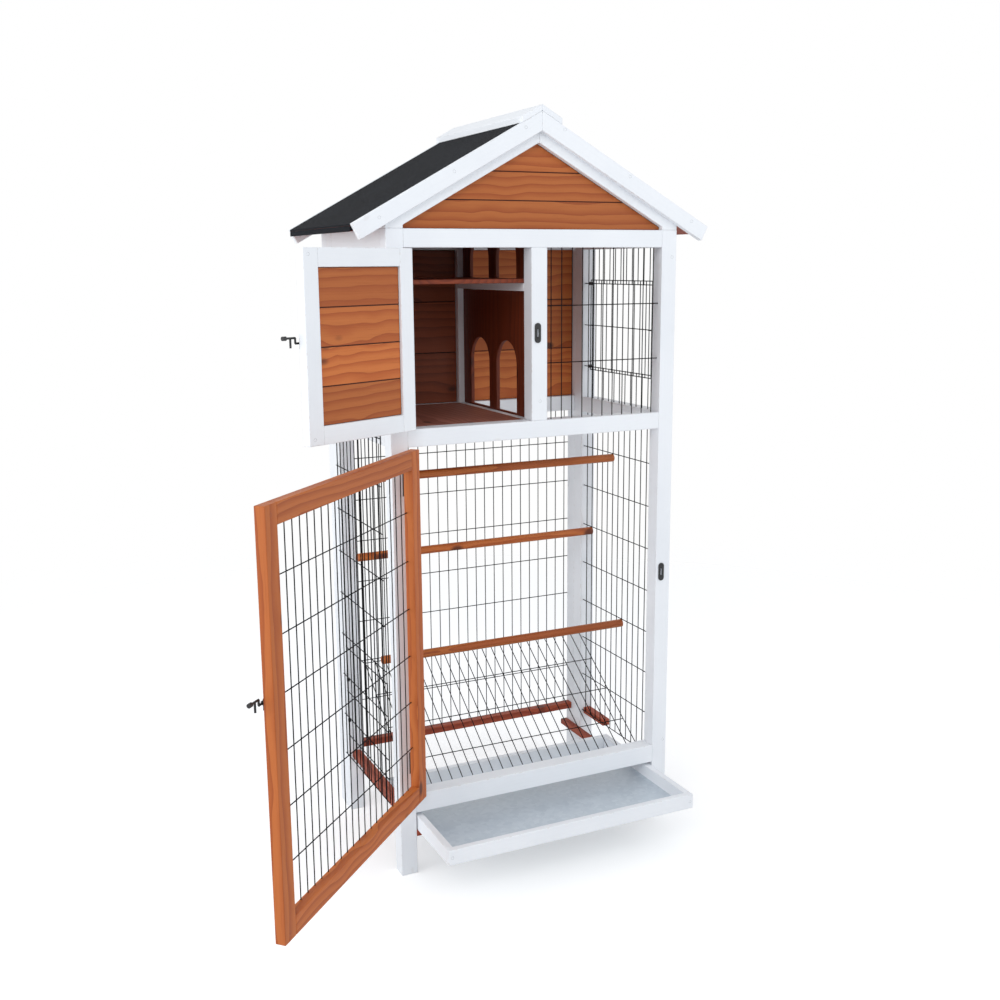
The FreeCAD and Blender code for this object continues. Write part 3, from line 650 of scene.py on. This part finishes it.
def islands(node: str) -> Iterator[BMesh]:
    """Give each solid of a node as a clean mesh of its own.

    Args:
        node: The node's name.

    Yields:
        A bmesh with flat faces, ready for bevels.
    """
    data = frame["nodes"][node].data
    whole = bmesh.new()
    whole.from_mesh(data)
    for run in closed_runs(data):
        single = whole.copy()
        others = [face for face in single.faces if face.index not in run]
        bmesh.ops.delete(single, geom=others, context="FACES")
        bmesh.ops.remove_doubles(single, verts=single.verts, dist=MERGE_DISTANCE)
        bmesh.ops.dissolve_limit(single, angle_limit=FLAT_ANGLE, verts=single.verts,
                                 edges=single.edges, use_dissolve_boundaries=False)
        yield single
    whole.free()


def lengthways(mesh: BMesh) -> Matrix:
    """Find a board's own axes: along its longest edge, then along the longest that crosses it.

    Args:
        mesh: The board.

    Returns:
        A rotation that turns the board's length to X and its width to Y.
    """
    nearly_square = 0.2
    edges = sorted(mesh.edges, key=lambda edge: edge.calc_length(), reverse=True)
    ways = [edge.verts[1].co - edge.verts[0].co for edge in edges]
    along = ways[0].normalized()
    across = next((way for way in ways if abs(way.normalized().dot(along)) < nearly_square), UP)
    across = (across - along * across.dot(along)).normalized()
    return Matrix((along, across, along.cross(across)))


def put(mesh: BMesh, name: str, material: Material, body: str, slot: Slot,
        nodes: Iterable[str] = ()) -> None:
    """Turn a bmesh into a piece that rides on a body.

    Args:
        mesh: The finished bmesh, which is freed.
        name: The piece's name.
        material: Its material.
        body: The body that it moves with.
        slot: The record's slot for the piece; not used.
        nodes: The nodes that it stands for.
    """
    data = bpy.data.meshes.new(name)
    mesh.normal_update()
    mesh.to_mesh(data)
    mesh.free()
    data.materials.append(material)
    piece = bpy.data.objects.new(name, data)
    bpy.context.scene.collection.objects.link(piece)
    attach(piece, body)
    if nodes:
        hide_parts(*nodes)
    LOG.info("%s: %d faces on %s", name, len(data.polygons), body)


def recoat(node: str, material: Material) -> None:
    """Finish a node that keeps its own mesh in a material."""
    data = frame["nodes"][node].data
    data.materials.clear()
    data.materials.append(material)
    LOG.info("%s: finished in %s", node, material.name)


def refinish(node: str, material: Material, chosen: Callable[[Vector], bool]) -> None:
    """Give some faces of a dressed board a second finish.

    Args:
        node: The node that the piece stands for.
        material: The second finish.
        chosen: Tells from a face's normal whether it gets the second finish.
    """
    data = bpy.data.objects[f"dressed_{node}"].data
    data.materials.append(material)
    for face in data.polygons:
        if chosen(face.normal):
            face.material_index = 1


def joint(name: str) -> dict:
    """Give a joint by its name."""
    return next(item for item in frame["joints"] if item["name"] == name)


def swung(name: str) -> Matrix:
    """Give the matrix of a door's own frame, at its pin and turned open.

    Args:
        name: The door's joint.

    Returns:
        The matrix from the closed door's frame to its place at rest.
    """
    data = joint(name)
    spot = Vector((data["pos_m"][0], data["pos_m"][1], 0))
    open_angle = math.radians(data["range_deg"][1])
    return Matrix.Translation(spot) @ Matrix.Rotation(-open_angle, 4, "Z")


def box_within(node: str, place: Matrix) -> tuple[Vector, Vector]:
    """Give a node's lowest and highest corners in a turned frame.

    Args:
        node: The node's name.
        place: The turned frame's matrix.

    Returns:
        Both corners, in that frame.
    """
    inverse = place.inverted()
    spots = [inverse @ vert.co for vert in frame["nodes"][node].data.vertices]
    low = Vector([min(spot[axis] for spot in spots) for axis in range(3)])
    high = Vector([max(spot[axis] for spot in spots) for axis in range(3)])
    return low, high


def steps(count: int, pitch: float, first: float) -> list[float]:
    """Give evenly spaced places."""
    return [first + pitch * number for number in range(count)]


def centred(count: int, pitch: float, room: float) -> list[float]:
    """Give evenly spaced places in the middle of a room."""
    return steps(count, pitch, (room - (count - 1) * pitch) / 2)


@dataclass
class Assembly:
    """A sub-assembly, which is finished from the cage's one set of materials."""

    finishes: dict[Finish, Material]


@dataclass
class Timberwork(Assembly):
    """Boards and bars: each gets rounded edges, and coordinates that run with its own grain."""

    edge: float = 1.3 * MM
    perch_edge: float = 0.6 * MM
    # Faces whose normal points more to the front than this get the painted shade of the nest's back
    # wall.
    inward: float = -0.5
    shifts: tuple[Pair, Pair, Pair] = ((-9, 9), (0.02, 0.05), (0.02, 0.06))
    rng: random.Random = field(default_factory=lambda: random.Random(41))

    def dress(self, node: str, finish: Finish, slot: Slot, edge: float,
              turned: bool = False) -> None:
        """Replace a node with its own shape, bevelled and grained.

        Args:
            node: The node's name.
            finish: A finish that reads grain, tone and worn.
            slot: The record's slot.
            edge: Width of the rounded edges.
            turned: Round pieces, which are smooth round their length.
        """
        joined = bmesh.new()
        data = bpy.data.meshes.new("board")
        for board in islands(node):
            axes = lengthways(board)
            middle = sum((vert.co for vert in board.verts), Vector()) / len(board.verts)
            # The bevelled faces are marked worn: edge wear in most finishes, and painted groove
            # shade on the stained panels and the nest's back wall.
            worn = board.faces.layers.float.new("worn")
            grain = board.verts.layers.float_vector.new("grain")
            tone = board.verts.layers.float.new("tone")
            sharp = [item for item in board.edges if len(item.link_faces) == 2
                     and item.calc_face_angle(0) > SHARP_ANGLE]
            made = bmesh.ops.bevel(board, geom=sharp, offset=edge, segments=2, profile=0.5,
                                   affect="EDGES", material=-1, clamp_overlap=True)
            for face in made["faces"]:
                face[worn] = 1.0
                face.smooth = True
            if turned:
                for face in board.faces:
                    face.smooth = len(face.verts) == 4
            shift = Vector([self.rng.uniform(*limits) for limits in self.shifts])
            shade = self.rng.random()
            for vert in board.verts:
                vert[grain] = axes @ (vert.co - middle) + shift
                vert[tone] = shade
            board.to_mesh(data)
            board.free()
            joined.from_mesh(data)
        bpy.data.meshes.remove(data)
        body = frame["nodes"][node]["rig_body"]
        put(joined, f"dressed_{node}", self.finishes[finish], body, slot, [node])

    def build(self) -> None:
        """Dress every board and bar in its own finish."""
        plan = {
            (Finish.WHITE, Slot.WHITE): (
                "left_front_post", "right_front_post", "left_rear_post", "right_rear_post",
                "left_rails", "right_rails", "front_bottom_rail", "front_middle_rail",
                "front_top_rail", "back_rails", "back_stiles", "front_middle_post", "nest_bearer",
                "nest_cleats", "front_rafters", "back_rafters", "front_barge_boards",
                "back_barge_boards", "ridge_cap", "nest_door_frame", "tray_boards"),
            (Finish.PANEL, Slot.PANEL): (
                "left_nest_wall", "nest_back_wall", "window_back_wall", "front_gable",
                "back_gable", "nest_door_planks"),
            # Painted shade: the darker copy of the stain, for the shade inside the nest.
            (Finish.INSIDE, Slot.PANEL): ("nest_partition", "nest_shelf"),
            (Finish.BARE, Slot.BARE): ("flight_door_frame",),
            (Finish.FLOOR, Slot.BROWN): ("nest_floor",),
            (Finish.BROWN, Slot.BROWN): (
                "floor_battens", "tray_runners", "left_roof_deck", "right_roof_deck"),
        }
        for (finish, slot), nodes in plan.items():
            for node in nodes:
                self.dress(node, finish, slot, self.edge)
        for node in ("upper_perch", "middle_perch", "lower_perch"):
            self.dress(node, Finish.BARE, Slot.BARE, self.perch_edge, turned=True)
        # Painted shade: the faces of the nest's back wall that look into the nest take the darker
        # finish.
        refinish("nest_back_wall", self.finishes[Finish.SHADED],
                 lambda normal: normal.y < self.inward)


@dataclass
class Roof(Assembly):
    """The roof's felt, which also covers the edges of the roof boards."""

    edgewise: float = 0.9

    def build(self) -> None:
        """Finish both slopes."""
        felt = self.finishes[Finish.FELT]
        for side in ("left", "right"):
            recoat(f"{side}_roof_felt", felt)
            refinish(f"{side}_roof_deck", felt,
                     lambda normal: max(abs(normal.x), abs(normal.y)) > self.edgewise)


@dataclass
class WireSheet:
    """Welded round wires in place of a node's square ones."""

    node: str
    origin: Vector
    across: Vector
    upward: Vector
    behind: Vector
    columns: list[float]
    rows: list[float]
    width: Pair
    height: Pair
    hatch: Hatch | None = None
    upper: "WireSheet | None" = None
    radius: float = WIRE / 2
    sides: int = 8

    def stretches(self, count: int, ends: Pair, crossing: list[float], span: int) -> list[Pair]:
        """Give a wire's stretches, cut at the hatch.

        Args:
            count: The wire's number.
            ends: Its two ends.
            crossing: Places of the wires that cross it.
            span: 0 for an upright wire, 1 for a cross wire.

        Returns:
            Pairs of ends.
        """
        if self.hatch is None or not self.hatch[span][0] < count < self.hatch[span][1]:
            return [ends]
        low, high = (crossing[edge] for edge in self.hatch[1 - span])
        return [(ends[0], low + self.radius), (high - self.radius, ends[1])]

    def rod(self, mesh: BMesh, start: Vector, end: Vector) -> None:
        """Add a round wire between two points to a bmesh."""
        way = end - start
        turn = way.to_track_quat("Z", "Y").to_matrix().to_4x4()
        made = bmesh.ops.create_cone(mesh, cap_ends=True, segments=self.sides,
                                     radius1=self.radius, radius2=self.radius, depth=way.length,
                                     matrix=Matrix.Translation((start + end) / 2) @ turn)
        for vert in made["verts"]:
            for face in vert.link_faces:
                face.smooth = len(face.verts) == 4

    def weave(self, mesh: BMesh) -> None:
        """Add the sheet's wires, and those of the sheet above it, to a bmesh."""
        upright = self.origin + self.behind * self.radius
        cross = self.origin + self.behind * (3 * self.radius)
        for count, place in enumerate(self.columns):
            for low, high in self.stretches(count, self.height, self.rows, 0):
                base = upright + self.across * place
                self.rod(mesh, base + self.upward * low, base + self.upward * high)
        for count, place in enumerate(self.rows):
            for low, high in self.stretches(count, self.width, self.columns, 1):
                base = cross + self.upward * place
                self.rod(mesh, base + self.across * low, base + self.across * high)
        if self.upper:
            self.upper.weave(mesh)

    def build(self, material: Material, body: str) -> None:
        """Make the sheet in a wire's coat, on the body that it moves with."""
        mesh = bmesh.new()
        self.weave(mesh)
        put(mesh, f"dressed_{self.node}", material, body, Slot.WIRE, [self.node])


@dataclass
class Wirework(Assembly):
    """The cabinet's wire sheets, the two gates, the flight door's sheet and the wire floor."""

    pitch: float = 25.4 * MM
    row: float = 101.6 * MM
    half: float = WIRE / 2
    side_columns: int = 13
    left_rows: int = 9
    left_hatch: Hatch = ((0, 10), (1, 2))
    right_rows: int = 8
    bay_rows: int = 3
    first_bay_row: int = 9
    right_hatch: Hatch = ((1, 11), (0, 2))
    back_columns: int = 26
    back_rows: int = 9
    window_columns: int = 11
    gate_columns: int = 12
    door_columns: int = 20
    door_rows: int = 6
    floor_columns: int = 24
    floor_rows: int = 5

    def left(self) -> WireSheet:
        """Give the left sheet, with its hatch."""
        low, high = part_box("left_wire")
        return WireSheet(
            "left_wire", Vector((high.x, low.y, low.z)), BACK, UP, -RIGHT,
            steps(self.side_columns, self.pitch, self.half),
            steps(self.left_rows, self.row, self.half),
            (0, high.y - low.y), (0, high.z - low.z), self.left_hatch)

    def right(self) -> WireSheet:
        """Give the right sheet: one part below the middle rail, and one above it with the hatch.

        Returns:
            The lower sheet, which carries the upper one.
        """
        low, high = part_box("right_wire")
        below, above = (corner.z - low.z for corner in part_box("front_middle_rail"))
        corner, width = Vector((high.x, low.y, low.z)), (0, high.y - low.y)
        columns = steps(self.side_columns, self.pitch, self.half)
        first = self.half + self.first_bay_row * self.row
        upper = WireSheet(
            "right_wire", corner, BACK, UP, -RIGHT, columns, steps(self.bay_rows, self.row, first),
            width, (above, high.z - low.z), self.right_hatch)
        return WireSheet(
            "right_wire", corner, BACK, UP, -RIGHT, columns,
            steps(self.right_rows, self.row, self.half), width, (0, below), upper=upper)

    def back(self) -> WireSheet:
        """Give the back sheet."""
        low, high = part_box("back_wire")
        return WireSheet(
            "back_wire", Vector(low), RIGHT, UP, BACK,
            steps(self.back_columns, self.pitch, self.half),
            steps(self.back_rows, self.row, self.half), (0, high.x - low.x), (0, high.z - low.z))

    def window(self) -> WireSheet:
        """Give the sheet in front of the upper bay, with two cross wires."""
        low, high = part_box("window_wire")
        wide, tall = high.x - low.x, high.z - low.z
        return WireSheet(
            "window_wire", Vector(low), RIGHT, UP, BACK,
            centred(self.window_columns, self.pitch, wide), [tall / 3, tall * 2 / 3],
            (0, wide), (0, tall))

    def gate(self, side: str) -> WireSheet:
        """Give the left or right gate, with cross wires at its foot, middle and head."""
        low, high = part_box(f"{side}_gate")
        wide, tall = high.y - low.y, high.z - low.z
        face, outward = (high.x, -RIGHT) if side == "left" else (low.x, RIGHT)
        return WireSheet(
            f"{side}_gate", Vector((face, low.y, low.z)), BACK, UP, outward,
            steps(self.gate_columns, self.pitch, self.half),
            [self.half, tall / 2, tall - self.half], (0, wide), (0, tall))

    def door(self) -> WireSheet:
        """Give the flight door's sheet, swung open with the door."""
        place = swung("flight_door_swing")
        turn = place.to_3x3()
        low, high = box_within("flight_door_wire", place)
        wide, tall = high.x - low.x, high.z - low.z
        return WireSheet(
            "flight_door_wire", place @ low, turn @ RIGHT, UP, turn @ BACK,
            centred(self.door_columns, self.pitch, wide),
            centred(self.door_rows, self.row, tall), (0, wide), (0, tall))

    def floor(self) -> WireSheet:
        """Give the wire floor, lifted at its rear."""
        data = joint("floor_tilt")
        tilt = -math.radians(data["range_deg"][0])
        place = Matrix.Translation(data["pos_m"]) @ Matrix.Rotation(tilt, 4, "X")
        turn = place.to_3x3()
        low, high = box_within("wire_floor", place)
        deep = high.y - low.y
        return WireSheet(
            "wire_floor", place @ Vector((low.x, low.y, high.z)), turn @ RIGHT, turn @ BACK,
            turn @ -UP, steps(self.floor_columns, self.pitch, self.half),
            steps(self.floor_rows, (deep - WIRE) / (self.floor_rows - 1), self.half),
            (0, high.x - low.x), (0, deep))

    def build(self) -> None:
        """Replace every square wire with a round one."""
        coat = self.finishes[Finish.WIRE]
        for sheet in (self.left(), self.right(), self.back(), self.window()):
            sheet.build(coat, "cabinet")
        for side in ("left", "right"):
            self.gate(side).build(coat, f"{side}_gate")
        self.door().build(coat, "flight_door")
        self.floor().build(coat, "lifting_floor")


@dataclass
class Metalwork(Assembly):
    """Hinges, latches, gate rings and the tray's sheet."""

    def build(self) -> None:
        """Give each its metal."""
        plan = {
            Finish.IRON: (
                "latch_keepers", "nest_latch_base", "flight_latch_base", "nest_latch_hook",
                "flight_latch_hook", "left_gate_rings", "right_gate_rings"),
            Finish.ZINC: ("post_hinges", "nest_door_hinges", "flight_door_hinges"),
            Finish.SHEET: ("tray_sheet",),
        }
        for finish, nodes in plan.items():
            for node in nodes:
                recoat(node, self.finishes[finish])


@dataclass
class Screws(Assembly):
    """Countersunk screws.

    Spots and faces are in millimetres: on the frame from the left front post's foot corner, and
    on a door from its pin.
    """

    radius: float = 3.2 * MM
    keeper_radius: float = 2.3 * MM
    length: float = 2 * MM
    taper: float = 0.55
    sunk: float = 0.9 * MM
    rim: float = 0.35
    recess: float = 0.5 * MM
    post_spots: tuple[Pair, ...] = ((669.3, 194.5), (339.9, 1025.4), (666.9, 1326.3))
    barge_spots: tuple[Pair, ...] = (
        (-16.7, 1403.7), (142.6, 1494.0), (301.4, 1583.8),
        (390.5, 1583.1), (547.7, 1493.8), (706.7, 1402.8))
    barge_face: float = -14.4
    keeper_spots: tuple[tuple[str, float, float], ...] = (
        ("nest", 334.5, 1170.4), ("flight", 655.0, 611.3))
    keeper_face: float = -2.0
    keeper_rises: Pair = (-15.5, 15.5)
    door_spots: tuple[tuple[str, float, Pair], ...] = (
        ("nest", 270.0, (997.5, 1333.5)), ("flight", 586.0, (203.0, 929.0)))
    door_face: float = 24.0
    tray_inset: float = 8 * MM

    def screw(self, spot: Vector, face: Vector, body: str, name: str, radius: float) -> None:
        """Sink a countersunk screw head flush into a face.

        Args:
            spot: The middle of the head on the face.
            face: The way the face looks.
            body: The body that it moves with.
            name: The piece's name.
            radius: The head's radius.
        """
        mesh = bmesh.new()
        turn = face.to_track_quat("Z", "Y").to_matrix().to_4x4()
        bmesh.ops.create_cone(mesh, cap_ends=True, segments=20, radius1=radius * self.taper,
                              radius2=radius, depth=self.length,
                              matrix=Matrix.Translation(spot - face * self.sunk) @ turn)
        top = max(mesh.faces, key=lambda item: item.calc_center_median().dot(face))
        bmesh.ops.inset_region(mesh, faces=[top], thickness=radius * self.rim)
        bmesh.ops.translate(mesh, verts=top.verts, vec=face * -self.recess)
        put(mesh, name, self.finishes[Finish.ZINC], body, Slot.SHEET)

    def frame_screws(self) -> None:
        """Screw the posts, the barge boards and the latch keepers."""
        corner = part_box("left_front_post")[0]
        for name, depth, spots in (("post", 0.0, self.post_spots),
                                   ("barge", self.barge_face, self.barge_spots)):
            for count, (across, up) in enumerate(spots):
                spot = corner + Vector((across, depth, up)) * MM
                self.screw(spot, -BACK, "cabinet", f"{name}_screw_{count}", self.radius)
        for name, across, up in self.keeper_spots:
            for count, rise in enumerate(self.keeper_rises):
                spot = corner + Vector((across, self.keeper_face, up + rise)) * MM
                self.screw(spot, -BACK, "cabinet", f"{name}_keeper_screw_{count}",
                           self.keeper_radius)

    def door_screws(self) -> None:
        """Screw the free corners of both doors, on the side that looks in when they are shut."""
        for name, across, heights in self.door_spots:
            place = swung(f"{name}_door_swing")
            inward = place.to_3x3() @ BACK
            for count, up in enumerate(heights):
                spot = place @ (Vector((across, self.door_face, up)) * MM)
                self.screw(spot, inward, f"{name}_door", f"{name}_door_screw_{count}", self.radius)

    def tray_screws(self) -> None:
        """Screw the ends of the tray's front board."""
        low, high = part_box("tray_boards")
        for count, across in enumerate((low.x + self.tray_inset, high.x - self.tray_inset)):
            spot = Vector((across, low.y, (low.z + high.z) / 2))
            self.screw(spot, -BACK, "tray", f"tray_screw_{count}", self.radius)

    def build(self) -> None:
        """Drive every screw."""
        self.frame_screws()
        self.door_screws()
        self.tray_screws()


@dataclass(frozen=True)
class Lamp:
    """A square soft lamp that looks at the middle of the cage."""

    name: str
    spot: Triple
    size: float
    power: float
    aim: Triple = (0, 0, 0.8)

    def build(self) -> None:
        """Hang the lamp."""
        data = bpy.data.lights.new(self.name, "AREA")
        data.size, data.energy = self.size, self.power
        lamp = bpy.data.objects.new(self.name, data)
        lamp.location = self.spot
        way = Vector(self.aim) - Vector(self.spot)
        lamp.rotation_euler = way.to_track_quat("-Z", "Y").to_euler()
        bpy.context.scene.collection.objects.link(lamp)


@dataclass
class Studio:
    """Floor, light and the camera at the photograph's place."""

    eye: Triple = (-0.80086, -2.22555, 1.31441)
    yaw: float = 25.45
    pitch: float = -11.53
    roll: float = -0.37
    lens: float = 42.19
    sensor: float = 36.0
    shift: Pair = (-0.0062, 0.0027)
    clip: Pair = (0.05, 60.0)
    floor_radius: float = 3.4
    fade_start: float = 1.6
    floor_grey: Colour = (0.86, 0.86, 0.86, 1)
    floor_lift: float = 0.34
    lamps: tuple[Lamp, ...] = (
        Lamp("key", (-2.2, -3.0, 3.1), 2.4, 44.0),
        Lamp("fill", (2.9, -2.4, 2.2), 2.6, 30.0),
        Lamp("side", (-4.0, -0.4, 1.6), 2.8, 60.0))
    sky: Colour = (0.93, 0.96, 1.0, 1)
    sky_strength: float = 0.7
    white: Colour = (1, 1, 1, 1)

    def camera(self) -> None:
        """Set up the camera from the corner of the left front post."""
        data = bpy.data.cameras.new("camera")
        data.sensor_width = self.sensor
        data.lens = self.lens
        data.shift_x, data.shift_y = self.shift
        data.clip_start, data.clip_end = self.clip
        yaw, pitch, roll = (math.radians(angle) for angle in (self.yaw, self.pitch, self.roll))
        ahead = Vector((math.sin(yaw) * math.cos(pitch), math.cos(yaw) * math.cos(pitch),
                        math.sin(pitch)))
        right = Vector((math.cos(yaw), -math.sin(yaw), 0))
        side = right * math.cos(roll) + right.cross(ahead) * math.sin(roll)
        matrix = Matrix((side, side.cross(ahead), -ahead)).transposed().to_4x4()
        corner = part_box("left_front_post")[0]
        matrix.translation = corner + Vector(self.eye)
        eye = bpy.data.objects.new("camera", data)
        eye.matrix_world = matrix
        bpy.context.scene.collection.objects.link(eye)
        bpy.context.scene.camera = eye

    def floor(self) -> None:
        """Lay a pale floor that fades into the white surround."""
        material, bench = new_material("pale floor")
        coords = bench.placed()
        reach = bench.node("ShaderNodeVectorMath", {0: coords}, operation="LENGTH").outputs["Value"]
        fade = bench.band(reach, (self.fade_start, self.floor_radius))
        diffuse = bench.node("ShaderNodeBsdfDiffuse", {"Color": self.floor_grey}).outputs[0]
        seen = bench.node("ShaderNodeLightPath").outputs["Is Camera Ray"]
        glow = bench.math("MULTIPLY", seen, self.floor_lift)
        lift = bench.node("ShaderNodeEmission", {"Color": self.white, "Strength": glow}).outputs[0]
        lit = bench.node("ShaderNodeAddShader", {0: diffuse, 1: lift}).outputs[0]
        clear = bench.node("ShaderNodeBsdfTransparent").outputs[0]
        both = bench.node("ShaderNodeMixShader", {0: fade, 1: lit, 2: clear}).outputs[0]
        bench.node("ShaderNodeOutputMaterial", {"Surface": both})
        mesh = bmesh.new()
        bmesh.ops.create_circle(mesh, cap_ends=True, segments=64, radius=self.floor_radius)
        data = bpy.data.meshes.new("floor")
        mesh.to_mesh(data)
        mesh.free()
        data.materials.append(material)
        floor = bpy.data.objects.new("floor", data)
        bpy.context.scene.collection.objects.link(floor)

    def surround(self) -> None:
        """Light the cage softly from all sides, before a background that is seen white."""
        world = bpy.data.worlds.new("surround")
        bpy.context.scene.world = world
        world.use_nodes = True
        bench = NodeBench(world.node_tree)
        path = bench.node("ShaderNodeLightPath").outputs
        mirrored = bench.math("MAXIMUM", path["Is Glossy Ray"], path["Is Transmission Ray"])
        seen = bench.math("MAXIMUM", path["Is Camera Ray"], mirrored)
        soft = bench.node("ShaderNodeBackground", {
            "Color": self.sky, "Strength": self.sky_strength}).outputs[0]
        bright = bench.node("ShaderNodeBackground", {
            "Color": self.white, "Strength": 1.0}).outputs[0]
        both = bench.node("ShaderNodeMixShader", {0: seen, 1: soft, 2: bright}).outputs[0]
        bench.node("ShaderNodeOutputWorld", {"Surface": both})

    def build(self) -> None:
        """Set up the studio."""
        self.camera()
        self.floor()
        for lamp in self.lamps:
            lamp.build()
        self.surround()
        bpy.context.scene.view_settings.view_transform = "Standard"


def main() -> None:
    """Build the studio and the cage."""
    logging.basicConfig(level=logging.INFO, format="%(name)s %(message)s")
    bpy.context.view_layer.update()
    Studio().build()
    finishes = make_finishes()
    for assembly in (Timberwork, Roof, Wirework, Metalwork, Screws):
        assembly(finishes).build()


if __name__ == "__main__":
    main()
